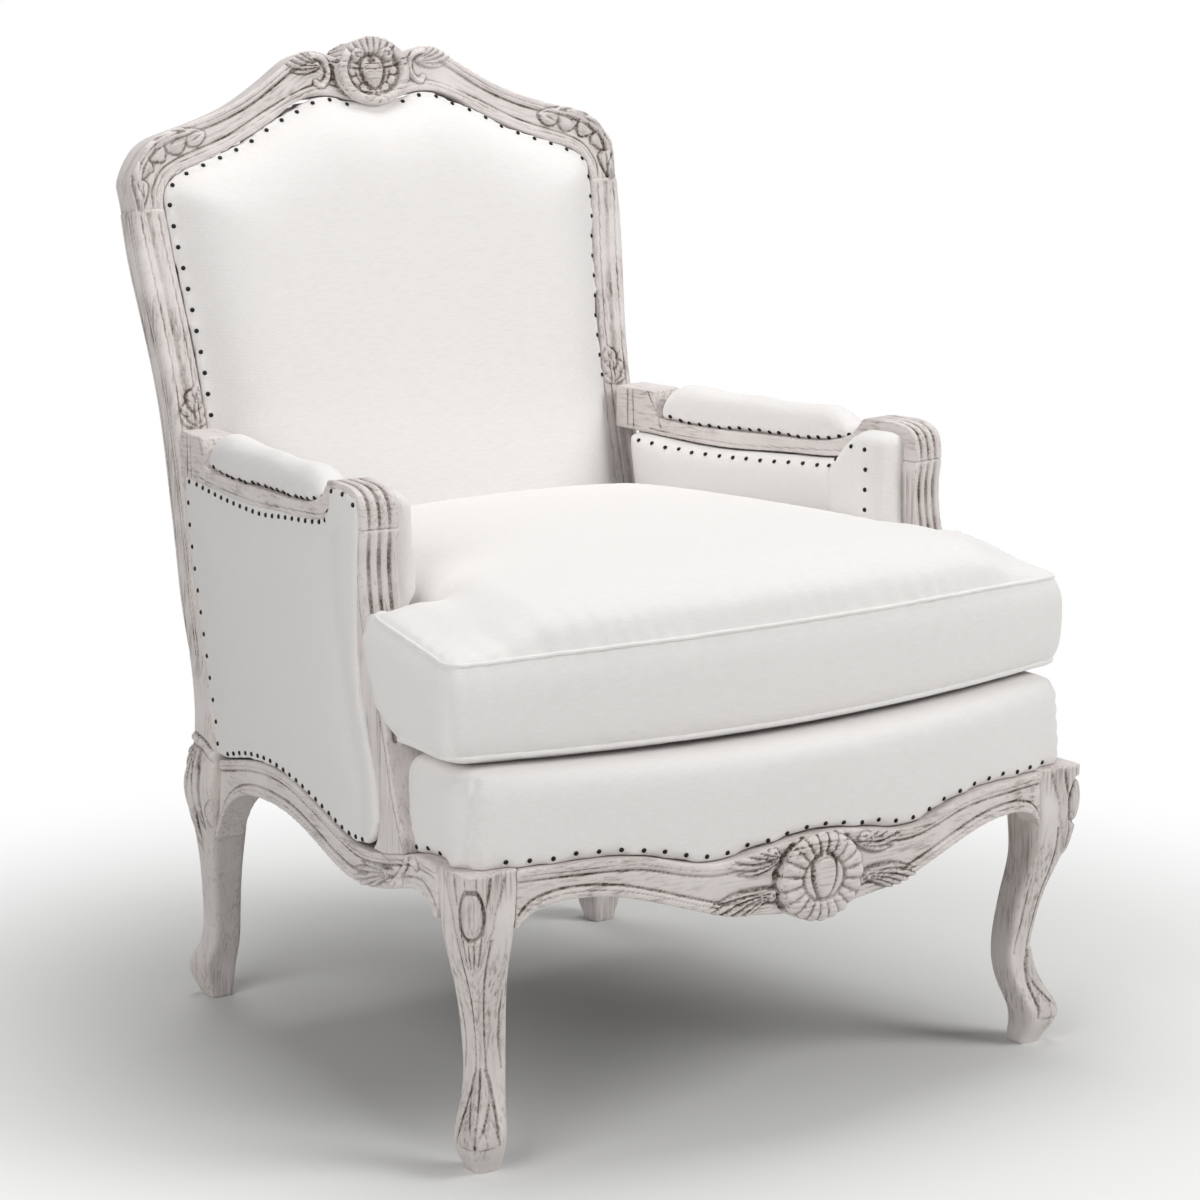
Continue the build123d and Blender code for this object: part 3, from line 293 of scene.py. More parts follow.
class Carving:
    """A member's mesh while it is carved, with its places in millimetres."""

    def __init__(self, mesh):
        self.mesh = mesh
        self.places = places_of(mesh) * 1000
        edges = np.zeros(len(mesh.edges) * 2, np.int64)
        mesh.edges.foreach_get("vertices", edges)
        edges = edges.reshape(-1, 2)
        self.starts = np.concatenate([edges[:, 0], edges[:, 1]])
        self.ends = np.concatenate([edges[:, 1], edges[:, 0]])
        self.links = np.maximum(np.bincount(self.starts, minlength=len(self.places)), 1)
        self.carved = np.zeros(len(self.places))
        self.face_up()

    def face_up(self):
        """Writes the places into the mesh and reads its normals again."""
        self.mesh.vertices.foreach_set("co", (self.places * MM).ravel())
        self.mesh.update()
        normals = np.zeros(self.places.size)
        self.mesh.vertices.foreach_get("normal", normals)
        self.normals = normals.reshape(-1, 3)

    def around(self, values):
        """The mean of each vertex's neighbours."""
        total = np.bincount(self.starts, weights=values[self.ends], minlength=len(values))
        return total / self.links

    def eased(self, rounds, share=0.5):
        """The places after some rounds of smoothing."""
        places = self.places.copy()
        for _ in range(rounds):
            for axis in range(3):
                places[:, axis] += share * (self.around(places[:, axis]) - places[:, axis])
        return places

    def fold(self):
        """Lays the right half over the left, so that one drawing carves both; returns each vertex's side."""
        sides = np.where(self.places[:, :1] < 0, (-1.0, 1.0, 1.0), (1.0, 1.0, 1.0))
        self.unfold(sides)
        return sides

    def unfold(self, sides):
        self.places = self.places * sides
        self.normals = self.normals * sides

    def ease(self, rounds, share=0.5):
        self.places = self.eased(rounds, share)
        self.face_up()

    def lift(self, heights, direction=None):
        """Raises the surface by a height in millimetres, along its own normals or one direction."""
        way = self.normals if direction is None else np.asarray(direction)[None, :]
        self.places = self.places + heights[:, None] * way

    def facing(self, direction, least=0.3):
        """Which vertices look at least a little in a direction."""
        return self.normals @ np.asarray(direction) > least

    def picked(self, face, path, reach, least):
        """The vertices near a drawn path that look the face's way, and their flat places."""
        flat = face.flat(self.places)[:, :2]
        inside = (flat > path.min(0) - reach) & (flat < path.max(0) + reach)
        spots = np.nonzero(inside.all(axis=1) & self.facing(face.out, least))[0]
        return spots, flat[spots]

    def line(self, face, path, width, depth, least=0.3):
        """Cuts a groove along a path that is drawn on a face."""
        spots, flat = self.picked(face, path, width, least)
        _, gap, _ = near_path(flat, path)
        self.places[spots] -= (depth * bump(gap, width))[:, None] * self.normals[spots]

    def cord(self, face, path, width, height):
        """Raises a rounded cord, such as a scroll, along a path."""
        spots, flat = self.picked(face, path, width, CARVED_SLOPE)
        _, gap, _ = near_path(flat, path)
        off = 2 * np.abs(gap) / width
        form = height * np.sqrt(np.clip(1 - off ** 2, 0, 1)) - 0.8 * np.exp(-((off - 1.3) / 0.3) ** 2)
        self.places[spots] += form[:, None] * face.out

    def leaf(
        self,
        face,
        path,
        half,
        height,
        lobes,
        ends=(0.75, 0.8),
        sides=(1.0, 1.0),
        notch=0.38,
        rib=0.7,
        lean=1.0,
    ):
        """Carves an acanthus leaf along a path: lobes sweep forward from a sunk rib to scalloped tips.

        Half is its half width and sides the share of that on its left and right. Notch is how deep its
        edge is cut, rib how strongly its lobes are modelled, and lean below one makes its tips rounder.
        """
        spots, flat = self.picked(face, path, 1.4 * half, CARVED_SLOPE)
        along, gap, run = near_path(flat, path)
        share = np.clip(along / run, 0.0, 1.0)
        spread = np.sin(np.pi * share ** ends[0]) ** ends[1]
        reach = half * spread * np.where(gap > 0, sides[0], sides[1])
        tips = np.abs(np.sin(np.pi * ((lobes * share - 0.8) % 1) ** lean)) ** lean
        width = np.maximum(reach * (1.1 - notch + notch * tips), 0.3)
        off = np.abs(gap) / width
        lobe = np.abs(np.sin(np.pi * (lobes * share - 0.8 * off)))
        body = np.clip(1 - off ** 2.5, 0, 1) ** 0.6
        form = body * (1 - rib + rib * lobe ** 0.8) - 0.65 * rib * body * np.exp(-(gap / 1.6) ** 2)
        edge = np.exp(-((np.abs(gap) - width - 1.0) / 1.3) ** 2) * (spread > 0.1)
        self.places[spots] += (height * form - 0.5 * edge)[:, None] * face.out
        self.carved[spots] = np.maximum(self.carved[spots], np.maximum((body > 0) * rib / 0.7, edge))

    def fan(self, face, root, tip, spread, height, fingers, curl=0.0):
        """Carves a spray of leaf fingers that leave a root and spread towards a tip."""
        root = np.array(root, float)
        way = np.array(tip, float) - root
        size = math.hypot(*way)
        box = np.array([np.minimum(root, tip), np.maximum(root, tip)])
        spots, flat = self.picked(face, box, 0.5 * size, CARVED_SLOPE)
        away = flat - root
        far = np.hypot(away[:, 0], away[:, 1]) / size
        turn = np.arctan2(way[0] * away[:, 1] - way[1] * away[:, 0], away @ way) - curl * far
        share = 2 * turn / spread
        finger = np.abs(np.cos(np.pi * fingers * share / 2)) ** 0.7
        off = far / np.maximum((0.55 + 0.45 * finger) * (1 - 0.45 * share ** 2), 0.05)
        inside = np.abs(share) < 1
        body = np.sqrt(np.clip(1 - off ** 3, 0, 1)) * step_up(far, 0.0, 0.18) * inside
        edge = np.exp(-((off - 1.1) / 0.09) ** 2) * inside
        self.places[spots] += (height * body * (0.2 + 0.8 * finger) - 0.6 * edge)[:, None] * face.out
        self.carved[spots] = np.maximum(self.carved[spots], np.maximum(body > 0, edge))

    def dome(self, face, centre, size, height, rim=1.2, power=2.0):
        """Carves an oval cabochon with a groove round it."""
        centre = np.array(centre, float)
        spots, flat = self.picked(face, np.array([centre - size, centre + size]), 5.0, CARVED_SLOPE)
        off = (np.abs((flat - centre) / size) ** power).sum(1) ** (1 / power)
        groove = np.exp(-(((off - 1) * min(size) - 1.3) / 1.2) ** 2)
        form = height * np.sqrt(np.clip(1 - off ** 2, 0, 1)) - rim * groove
        self.places[spots] += form[:, None] * face.out

    def finish(self, name, node, grain):
        """Stores where hollows, edges and the grain lie, and gives the piece its paint and its body."""
        self.ease(1, 0.35)
        wide = np.einsum("ij,ij->i", self.eased(24) - self.places, self.normals)
        fine = np.einsum("ij,ij->i", self.eased(4) - self.places, self.normals)
        hollow = np.clip(wide / 1.3, 0, 1) * 0.75 + np.clip(fine / 0.3, 0, 1) * 0.45
        hollow = hollow * (1 + 0.9 * self.carved) + 0.2 * self.carved
        ridge = np.clip(-wide / 0.9, 0, 1)
        for label, values in (("hollow", np.clip(hollow, 0, 1)), ("ridge", ridge)):
            layer = self.mesh.attributes.new(label, "FLOAT", "POINT")
            layer.data.foreach_set("value", values.astype(np.float32))
        layer = self.mesh.attributes.new("grain", "FLOAT_VECTOR", "POINT")
        layer.data.foreach_set("vector", (grain * MM).astype(np.float32).ravel())
        shade_smooth(self.mesh)
        show_piece(name, self.mesh, "frame", "painted_wood", painted_wood(), node)


def shade_smooth(mesh):
    mesh.polygons.foreach_set("use_smooth", np.ones(len(mesh.polygons), bool))
    mesh.update()


def show_piece(name, mesh, body, slot, material, *nodes):
    """Makes a piece of a mesh, with its material, its body and the CAD nodes that it stands for."""
    mesh.materials.clear()
    mesh.materials.append(material)
    piece = bpy.data.objects.new(name, mesh)
    bpy.context.scene.collection.objects.link(piece)
    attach(piece, body)
    if nodes:
        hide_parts(*nodes)
    return piece


def evaluated(holder):
    """The mesh of a helper object after its modifiers; the helper is removed."""
    graph = bpy.context.evaluated_depsgraph_get()
    mesh = bpy.data.meshes.new_from_object(holder.evaluated_get(graph), depsgraph=graph)
    bpy.data.objects.remove(holder)
    return mesh


def helper(mesh):
    holder = bpy.data.objects.new("helper", mesh)
    bpy.context.scene.collection.objects.link(holder)
    return holder


def prism(work, face, outline, low, high):
    """Adds a closed slab over an outline that is drawn on a face."""
    rings = [[work.verts.new(place) for place in face.solid(outline, out) * MM] for out in (low, high)]
    work.faces.new(rings[0][::-1])
    work.faces.new(rings[1])
    for i in range(len(outline)):
        j = (i + 1) % len(outline)
        work.faces.new((rings[0][i], rings[0][j], rings[1][j], rings[1][i]))


def remeshed(node, grid, slabs=()):
    """A CAD node's shape, joined with slabs, as one skin of even squares."""
    work = bmesh.new()
    if node:
        work.from_mesh(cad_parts[node].data)
        bmesh.ops.remove_doubles(work, verts=work.verts, dist=1e-5)
    for slab in slabs:
        prism(work, *slab)
    mesh = bpy.data.meshes.new("form")
    work.to_mesh(mesh)
    work.free()
    holder = helper(mesh)
    skin = holder.modifiers.new("Remesh", "REMESH")
    skin.mode = "VOXEL"
    skin.voxel_size = grid
    return evaluated(holder)


def mirrored(mesh):
    """The same mesh for the other side of the chair."""
    other = mesh.copy()
    other.transform(Matrix.Scale(-1, 4, (1, 0, 0)))
    other.flip_normals()
    return other


def carve_pair(name, carve):
    """Carves a left-hand member and shows it with its mirror image."""
    carving, grain = carve()
    carving.finish(name + "_left_carved", name + "_left", grain)
    other = mirrored(carving.mesh)
    show_piece(name + "_right_carved", other, "frame", "painted_wood", painted_wood(), name + "_right")


def blank(node, coarse=1.0, rounds=2):
    """A CAD member as an eased mesh that is ready to be carved."""
    carving = Carving(remeshed(node, bpy.context.scene.bergere_wood.grid * coarse))
    carving.ease(rounds)
    return carving


def leaf_rise():
    """How far the carved leaves stand out, in millimetres."""
    return bpy.context.scene.bergere_wood.leaf_rise * 1000


# Materials
THREAD_GAP = 0.0015


def add_node(tree, kind, inputs=None, **settings):
    """Adds a node with its settings; an input takes a value, a node's output, or a node for its first one."""
    made = tree.nodes.new(kind)
    for name, value in settings.items():
        setattr(made, name, value)
    for key, value in (inputs or {}).items():
        if isinstance(value, bpy.types.Node):
            value = value.outputs[0]
        if isinstance(value, bpy.types.NodeSocket):
            tree.links.new(value, made.inputs[key])
        else:
            made.inputs[key].default_value = value
    return made


def new_material(name):
    material = bpy.data.materials.new(name)
    material.use_nodes = True
    material.node_tree.nodes.clear()
    return material, material.node_tree


def painted_wood():
    """Carved beech under off-white casein paint, with umber glaze wiped off its high places.

    The eye sees a dull, slightly pink white, dark lines in every hollow and long brown brush marks.
    """
    if "painted beech" in bpy.data.materials:
        return bpy.data.materials["painted beech"]
    wood = bpy.context.scene.bergere_wood
    material, tree = new_material("painted beech")
    hollow, ridge, grain = (
        add_node(tree, "ShaderNodeAttribute", attribute_name=name) for name in ("hollow", "ridge", "grain")
    )
    # Brush marks about 3 mm wide and 90 mm long
    stretched = add_node(
        tree, "ShaderNodeMapping", {"Vector": grain.outputs["Vector"], "Scale": (11, 330, 330)}
    )
    marks = add_node(
        tree, "ShaderNodeTexNoise", {"Vector": stretched, "Scale": 1.0, "Detail": 4.0, "Roughness": 0.6}
    )
    # Patches about 60 mm across where more glaze was left
    patches = add_node(
        tree, "ShaderNodeTexNoise", {"Vector": grain.outputs["Vector"], "Scale": 16.0, "Detail": 3.0}
    )
    mark_share = add_node(
        tree, "ShaderNodeMapRange", {0: marks, "From Min": 0.48, "From Max": 0.76, "To Max": 0.8}
    )
    patch_share = add_node(tree, "ShaderNodeMapRange", {0: patches, "From Min": 0.36, "From Max": 0.64})
    streaks = add_node(tree, "ShaderNodeMath", {0: mark_share, 1: patch_share}, operation="MULTIPLY")
    # Glaze in the hollows, broken up by grit about 3 mm across
    place = add_node(tree, "ShaderNodeTexCoord")
    grit = add_node(
        tree, "ShaderNodeTexNoise", {"Vector": place.outputs["Object"], "Scale": 330.0, "Detail": 5.0}
    )
    broken = add_node(
        tree, "ShaderNodeMapRange", {0: grit, "From Min": 0.3, "From Max": 0.6, "To Min": 0.55}
    )
    held = add_node(
        tree,
        "ShaderNodeMapRange",
        {0: hollow.outputs["Fac"], "From Min": 0.12, "From Max": 0.8, "To Max": 0.95},
    )
    # Lines fade where less glaze was left
    kept = add_node(
        tree, "ShaderNodeMapRange", {0: patches, "From Min": 0.36, "From Max": 0.6, "To Min": 0.4}
    )
    held_kept = add_node(tree, "ShaderNodeMath", {0: held, 1: kept}, operation="MULTIPLY")
    held_broken = add_node(tree, "ShaderNodeMath", {0: held_kept, 1: broken}, operation="MULTIPLY")
    glaze_share = add_node(
        tree, "ShaderNodeMath", {0: held_broken, 1: streaks}, operation="ADD", use_clamp=True
    )
    paint = add_node(
        tree, "ShaderNodeMix", {"Factor": patches, 6: wood.paint, 7: wood.paint_shade}, data_type="RGBA"
    )
    rub = add_node(
        tree, "ShaderNodeMapRange", {0: grit, "From Min": 0.58, "From Max": 0.7, "To Max": 0.5}
    )
    rubbed = add_node(tree, "ShaderNodeMath", {0: ridge.outputs["Fac"], 1: rub}, operation="MULTIPLY")
    worn = add_node(
        tree, "ShaderNodeMix", {"Factor": rubbed, 6: paint.outputs[2], 7: wood.bare}, data_type="RGBA"
    )
    glazed = add_node(
        tree,
        "ShaderNodeMix",
        {"Factor": glaze_share, 6: worn.outputs[2], 7: wood.glaze},
        data_type="RGBA",
    )
    rough = add_node(tree, "ShaderNodeMapRange", {0: marks, "To Min": 0.48, "To Max": 0.66})
    relief = add_node(tree, "ShaderNodeBump", {"Height": marks, "Strength": 0.25, "Distance": 0.0006})
    shader = add_node(
        tree,
        "ShaderNodeBsdfPrincipled",
        {
            "Base Color": glazed.outputs[2],
            "Roughness": rough,
            "Normal": relief,
            "IOR": 1.48,
            "Specular IOR Level": 0.35,
        },
    )
    add_node(tree, "ShaderNodeOutputMaterial", {"Surface": shader})
    return material


def cotton(name, tint, shade):
    """Plain-woven cotton and linen: a matt white with a fine square weave and slubs, and painted shade where
    the weave lies low.
    """
    if name in bpy.data.materials:
        return bpy.data.materials[name]
    material, tree = new_material(name)
    place = add_node(tree, "ShaderNodeTexCoord")
    split = add_node(tree, "ShaderNodeSeparateXYZ", {0: place.outputs["Object"]})
    turn = add_node(tree, "ShaderNodeSeparateXYZ", {0: place.outputs["Normal"]})
    threads = None
    # Threads 0.5 mm apart are drawn wider apart so that they show
    for axis in range(3):
        phase = add_node(
            tree,
            "ShaderNodeMath",
            {0: split.outputs[axis], 1: 2 * math.pi / THREAD_GAP},
            operation="MULTIPLY",
        )
        wave = add_node(tree, "ShaderNodeMath", {0: phase}, operation="SINE")
        edge_on = add_node(tree, "ShaderNodeMath", {0: turn.outputs[axis]}, operation="ABSOLUTE")
        shown = add_node(tree, "ShaderNodeMath", {0: 1.0, 1: edge_on}, operation="SUBTRACT")
        thread = add_node(tree, "ShaderNodeMath", {0: wave, 1: shown}, operation="MULTIPLY")
        if threads is None:
            threads = thread
        else:
            threads = add_node(tree, "ShaderNodeMath", {0: threads, 1: thread}, operation="ADD")
    # Slubs about 2 mm thick and 12 mm long
    stretched = add_node(
        tree, "ShaderNodeMapping", {"Vector": place.outputs["Object"], "Scale": (80, 500, 500)}
    )
    slubs = add_node(tree, "ShaderNodeTexNoise", {"Vector": stretched, "Scale": 1.0, "Detail": 3.0})
    relief_sum = add_node(
        tree, "ShaderNodeMath", {0: threads, 1: 0.25, 2: slubs}, operation="MULTIPLY_ADD"
    )
    relief = add_node(
        tree, "ShaderNodeBump", {"Height": relief_sum, "Strength": 0.22, "Distance": 0.0005}
    )
    # Painted shade: the cover turns towards the thread colour where its threads and slubs lie low
    share = add_node(
        tree,
        "ShaderNodeMapRange",
        {0: relief_sum, "From Min": 0.15, "From Max": 0.75, "To Min": 0.5, "To Max": 0.0},
    )
    cloth = add_node(tree, "ShaderNodeMix", {"Factor": share, 6: tint, 7: shade}, data_type="RGBA")
    shader = add_node(
        tree,
        "ShaderNodeBsdfPrincipled",
        {
            "Base Color": cloth.outputs[2],
            "Normal": relief,
            "Roughness": 0.92,
            "IOR": 1.5,
            "Specular IOR Level": 0.2,
            "Sheen Weight": 0.12,
            "Sheen Roughness": 0.5,
        },
    )
    add_node(tree, "ShaderNodeOutputMaterial", {"Surface": shader})
    return material


def cover_cotton():
    cover = bpy.context.scene.bergere_cover
    return cotton("white cotton and linen", cover.cotton, cover.thread)


def plain_material(name, tint, shade, scale, stretch, roughness):
    """A simple grained finish for the pieces inside the seat."""
    if name in bpy.data.materials:
        return bpy.data.materials[name]
    material, tree = new_material(name)
    place = add_node(tree, "ShaderNodeTexCoord")
    stretched = add_node(tree, "ShaderNodeMapping", {"Vector": place.outputs["Object"], "Scale": stretch})
    grain = add_node(tree, "ShaderNodeTexNoise", {"Vector": stretched, "Scale": scale, "Detail": 6.0})
    mixed = add_node(
        tree, "ShaderNodeMix", {"Factor": grain, 6: linear(tint), 7: linear(shade)}, data_type="RGBA"
    )
    relief = add_node(tree, "ShaderNodeBump", {"Height": grain, "Strength": 0.3, "Distance": 0.0005})
    shader = add_node(
        tree,
        "ShaderNodeBsdfPrincipled",
        {"Base Color": mixed.outputs[2], "Normal": relief, "Roughness": roughness},
    )
    add_node(tree, "ShaderNodeOutputMaterial", {"Surface": shader})
    return material


def blackened_iron():
    """Forged iron nail heads, blackened and waxed: nearly black with a soft shine."""
    if "blackened iron" in bpy.data.materials:
        return bpy.data.materials["blackened iron"]
    material, tree = new_material("blackened iron")
    place = add_node(tree, "ShaderNodeTexCoord")
    # Hammer marks about 1 mm across
    marks = add_node(
        tree, "ShaderNodeTexNoise", {"Vector": place.outputs["Object"], "Scale": 1000.0, "Detail": 2.0}
    )
    rough = add_node(tree, "ShaderNodeMapRange", {0: marks, "To Min": 0.3, "To Max": 0.55})
    relief = add_node(tree, "ShaderNodeBump", {"Height": marks, "Strength": 0.2, "Distance": 0.0003})
    shader = add_node(
        tree,
        "ShaderNodeBsdfPrincipled",
        {
            "Base Color": bpy.context.scene.bergere_nails.iron,
            "Roughness": rough,
            "Normal": relief,
            "Metallic": 0.6,
        },
    )
    add_node(tree, "ShaderNodeOutputMaterial", {"Surface": shader})
    return material


# Wooden members
def carve_front_leg():
    carving = blank("front_leg_left")
    # Knee: a ribbed shield that runs to a point, with a long cabochon on it
    spots, flat = carving.picked(KNEE, np.array([(-20.0, 204.0), (20.0, 306.0)]), 12.0, CARVED_SLOPE)
    width = np.interp(flat[:, 1], (204, 217, 240, 251, 267, 290, 312), (1, 9, 14, 19, 21, 27, 30))
    off = np.abs(flat[:, 0]) / width
    ribs = np.abs(np.cos(np.pi * 2.5 * off)) ** 0.8
    clear = step_up(np.hypot(flat[:, 0] / 12, (flat[:, 1] - 267) / 24), 0.95, 1.15)
    shield = np.sqrt(np.clip(1 - off ** 6, 0, 1)) * step_up(flat[:, 1], 204, 214)
    carving.places[spots] += (3.2 * shield * clear * (0.35 + 0.65 * ribs))[:, None] * KNEE.out
    carving.carved[spots] = shield > 0.05
    carving.dome(KNEE, (0, 267), (10.0, 22), 4.0, 2.4, 2.6)
    for side in (-1, 1):
        shank = smooth_path([(side * 17, 240), (side * 8, 190), (side * 5, 139), (side * 5.5, 100)])
        carving.line(KNEE, shank, 4.0, 1.4)
        carving.line(KNEE, shank * (2.9, 1.0) + (side * 2, 0), 4.5, 1.0, 0.1)
    # Ankle: a pointed leaf that widens to the toe
    ankle = np.array([(0.0, 30.0), (0.0, 104.0)])
    carving.leaf(KNEE, ankle, 19, leaf_rise() * 0.9, 1.2, (0.18, 0.5), notch=0.1)
    return carving, carving.places[:, [2, 0, 1]]


def carve_back_post():
    carving = blank("back_post_left", 1.12, 3)
    # Face of the stile: a bead along the cover, a wide cove and an outer bead
    inner = OPENING[OPENING[:, 1] < rise(868)]
    for off, width, depth in ((8.5, 3.6, 1.4), (20, 19.0, 2.0), (30.5, 3.6, 1.6)):
        carving.line(BACK, inner + (off, 0), width, depth)
    # Lines along the outer side of the stile
    side_lines = Face((0, 0, 0), (0, 1, 0), (0, 0, 1))
    for back in (8.0, 13.0, 28.0):
        path = [(BACK_FOOT[1] + (z - BACK_FOOT[2]) * math.tan(RAKE) + back, z) for z in (400, 880)]
        carving.line(side_lines, np.array(path), 3.8, 1.3)
    foot = smooth_path(raked([(280, 640), (279, 660), (274, 684)]))
    carving.leaf(BACK, foot, 15, leaf_rise() * 0.8, 3, (0.5, 0.7))
    # Back knee: a collar with a leaf below it, and a line that ends in a scroll at the foot
    carving.fan(SIDE, (546, 318), (588, 200), 0.9, leaf_rise() * 1.1, 5)
    carving.cord(SIDE, smooth_path([(596, 305), (570, 314), (540, 309), (513, 296)]), 8.0, 3.0)
    shank = [(508, 262), (533, 241), (534, 221), (517, 183), (498, 145), (499, 113), (522, 81), (546, 60)]
    carving.line(SIDE, smooth_path(shank), 4.0, 1.4)
    carving.cord(SIDE, volute((556, 50), 10, math.pi / 2, 1.3), 5.0, 2.2)
    return carving, carving.places[:, [2, 0, 1]]


def carve_crest():
    carving = blank("crest_rail")
    sides = carving.fold()
    cartouche(carving)
    inner = OPENING[OPENING[:, 1] > rise(860)]
    for path, off, width, depth in (
        (CREST_OUTER, -6, 3.4, 1.2),
        (CREST_OUTER, -12, 4.0, 1.3),
        (inner, 8, 3.4, 1.2),
        (inner, 13, 4.0, 1.0),
    ):
        carving.line(BACK, path + outward(path) * off, width, depth)
    # Acanthus round the shoulders: its tips point in from a spine along the outer bead
    spine = smooth_path(raked([(222, 949), (256, 951), (286, 944), (305, 930), (315, 910), (317, 866)]))
    carving.leaf(BACK, spine, 23, leaf_rise() * 1.5, 5, (0.75, 0.5), (0.2, 1.0), notch=0.6, rib=0.4, lean=0.6)
    # Beside the cartouche: a curl and a leaf along the top bead
    curl = smooth_path(raked([(74, 1025), (61, 1022), (54, 1011), (56, 999), (65, 992), (71, 996)]))
    carving.fan(BACK, (60, rise(1016)), (114, rise(1006)), 0.95, leaf_rise() * 1.2, 5, 0.5)
    carving.cord(BACK, curl, 6.5, 3.4)
    # The ends are drawn in to the stiles that they stand on
    low = step_up(-BACK.flat(carving.places)[:, 1], -rise(925), -rise(872)) * (carving.places[:, 0] > 200)
    carving.places[:, 0] -= 4.5 * low * step_up(carving.places[:, 0], 285, 325)
    foot = low * step_up(-carving.normals @ BACK.up, 0.3, 0.7)
    carving.places -= (2.5 * foot)[:, None] * BACK.up
    carving.unfold(sides)
    grain = carving.places.copy()
    flat = BACK.flat(carving.places)[:, :2]
    flat[:, 0] = np.abs(flat[:, 0])
    _, gap, _ = near_path(flat, CREST_OUTER)
    grain[:, 2] = gap
    return carving, grain


def outward(path):
    """Unit vectors to the right of a path's run."""
    way = np.gradient(path, axis=0)
    way /= np.linalg.norm(way, axis=1)[:, None]
    return np.stack([way[:, 1], -way[:, 0]], 1)


def scallop(carving, across, up, heights):
    """Moves an oval ornament's rim out from the middle by heights in millimetres."""
    radial = np.stack([across, np.zeros(len(up)), up], 1)
    radial /= np.maximum(np.linalg.norm(radial, axis=1), 1)[:, None]
    carving.places += heights[:, None] * radial


def cartouche(carving):
    """The crest's shell: a scrolled oval round a heart, with a fan above and a leaf below."""
    flat = BACK.flat(carving.places)
    across = flat[:, 0]
    up = flat[:, 1] - rise(1005)
    off = np.hypot(across / 47, up / 39)
    angle = np.arctan2(up / 39, across / 47)
    front = carving.facing(BACK.out, 0.25) & (off < 1.12) & (flat[:, 2] > 1)
    flutes = np.abs(np.cos(angle * 14)) ** 0.7
    fan = step_up(np.sin(angle), 0.5, 0.7) * step_up(off, 0.44, 0.58)
    ring = 4.2 * np.sqrt(np.clip(1 - ((off - 0.86) / 0.13) ** 2, 0, 1)) - 3.4 * step_up(0.78 - off, 0.0, 0.1)
    petals = 2.6 * bump(off - 0.6, 0.3) * np.abs(np.cos(angle * 6)) ** 0.7
    heart = np.hypot(across / 14, (up + 3 - 0.45 * np.abs(across)) / 18)
    form = (ring + petals) * (1 - fan) + fan * (3.4 * flutes - 1.6)
    form += 6.0 * np.sqrt(np.clip(1 - heart ** 2, 0, 1)) - 1.2 * np.exp(-((heart - 1.15) / 0.12) ** 2)
    form -= 4.5 * np.exp(-(across / 8) ** 2 - ((up - 11) / 4) ** 2)
    carving.lift(form * front, BACK.out)
    carving.carved = np.maximum(carving.carved, front * step_up(1.1 - off, 0.0, 0.1))
    rim = (off > 0.86) & (off < 1.2) & (np.abs(carving.normals @ BACK.out) < 0.7) & (up > 10)
    scallop(carving, across, up, (2.6 * flutes - 4.6) * rim)
    carving.cord(BACK, volute((20, rise(1021)), 7.5, math.pi, -1.2), 4.6, 3.0)
    carving.leaf(BACK, np.array(raked([(0, 984), (0, 963)])), 15, 3.4, 3, (0.8, 0.6))


def carve_front_rail():
    carving = blank("front_seat_rail")
    sides = carving.fold()
    shell(carving)
    for off, width, low_depth in ((7.0, 3.4, 1.1), (12.5, 4.0, 1.2)):
        carving.line(FRONT, FRONT_RAIL_TOP - (0, off), width, 1.2)
        carving.line(FRONT, FRONT_RAIL_LOW + (0, off), width, low_depth)
    # Leaf sprays that leave the shell above and below
    carving.fan(FRONT, (44, 284), (112, 270), 0.85, leaf_rise() * 1.3, 5, 0.35)
    carving.fan(FRONT, (44, 248), (150, 248), 0.5, leaf_rise() * 1.3, 5, -0.3)
    carving.cord(FRONT, volute((58, 285), 7, 0.0, 1.2), 4.6, 3.0)
    carving.cord(FRONT, volute((57, 244), 7, math.pi, -1.2), 4.6, 3.0)
    carving.unfold(sides)
    return carving, carving.places.copy()


def shell(carving):
    """The front rail's shell: a kidney cabochon in a ring of gadroons."""
    flat = FRONT.flat(carving.places)
    across = flat[:, 0]
    up = flat[:, 1] - 256
    off = np.hypot(across / 52.5, up / 45)
    angle = np.arctan2(up, across)
    front = carving.facing(FRONT.out, 0.25) & (off < 1.1) & (flat[:, 2] > -4)
    lobes = np.abs(np.cos(angle * 10)) ** 0.75
    ring = step_up(off, 0.46, 0.62)
    form = ring * (3.6 * lobes - 1.6 - 2.4 * step_up(off, 0.8, 1.0)) - 1.8 * bump(off - 0.5, 0.2)
    kidney = np.hypot(across / (13 + 0.13 * up), (up - 2) / 22)
    form = form + 4.2 * np.clip(1 - kidney ** 4, 0, 1) ** 0.5 - 2.6 * np.exp(-((kidney - 1.16) / 0.1) ** 2)
    carving.lift(form * front, FRONT.out)
    carving.carved = np.maximum(carving.carved, 0.6 * front * step_up(1.1 - off, 0.0, 0.1))
    rim = (off > 0.86) & (off < 1.15) & (np.abs(carving.normals @ FRONT.out) < 0.7) & (up < 20)
    scallop(carving, across, up, (2.0 * lobes - 1.6) * rim)


def carve_side_rail():
    carving = blank("side_seat_rail_left", 1.05, 3)
    for drop in (6.5, 12.0):
        carving.line(SIDE, SIDE_RAIL_TOP - (0, drop), 3.6, 1.2)
        carving.line(SIDE, SIDE_RAIL_LOW + (0, drop), 3.6, 1.1)
    # Under the arm support: a spray, a scroll and two small beads
    carving.fan(SIDE, (78, 277), (172, 250), 0.5, leaf_rise() * 1.2, 5)
    carving.cord(SIDE, BASE_SCROLL, 6.5, 2.6)
    for centre in ((32, 297), (66, 271)):
        carving.dome(SIDE, centre, (6.5, 6.5), 4.0)
    return carving, carving.places[:, [1, 2, 0]]


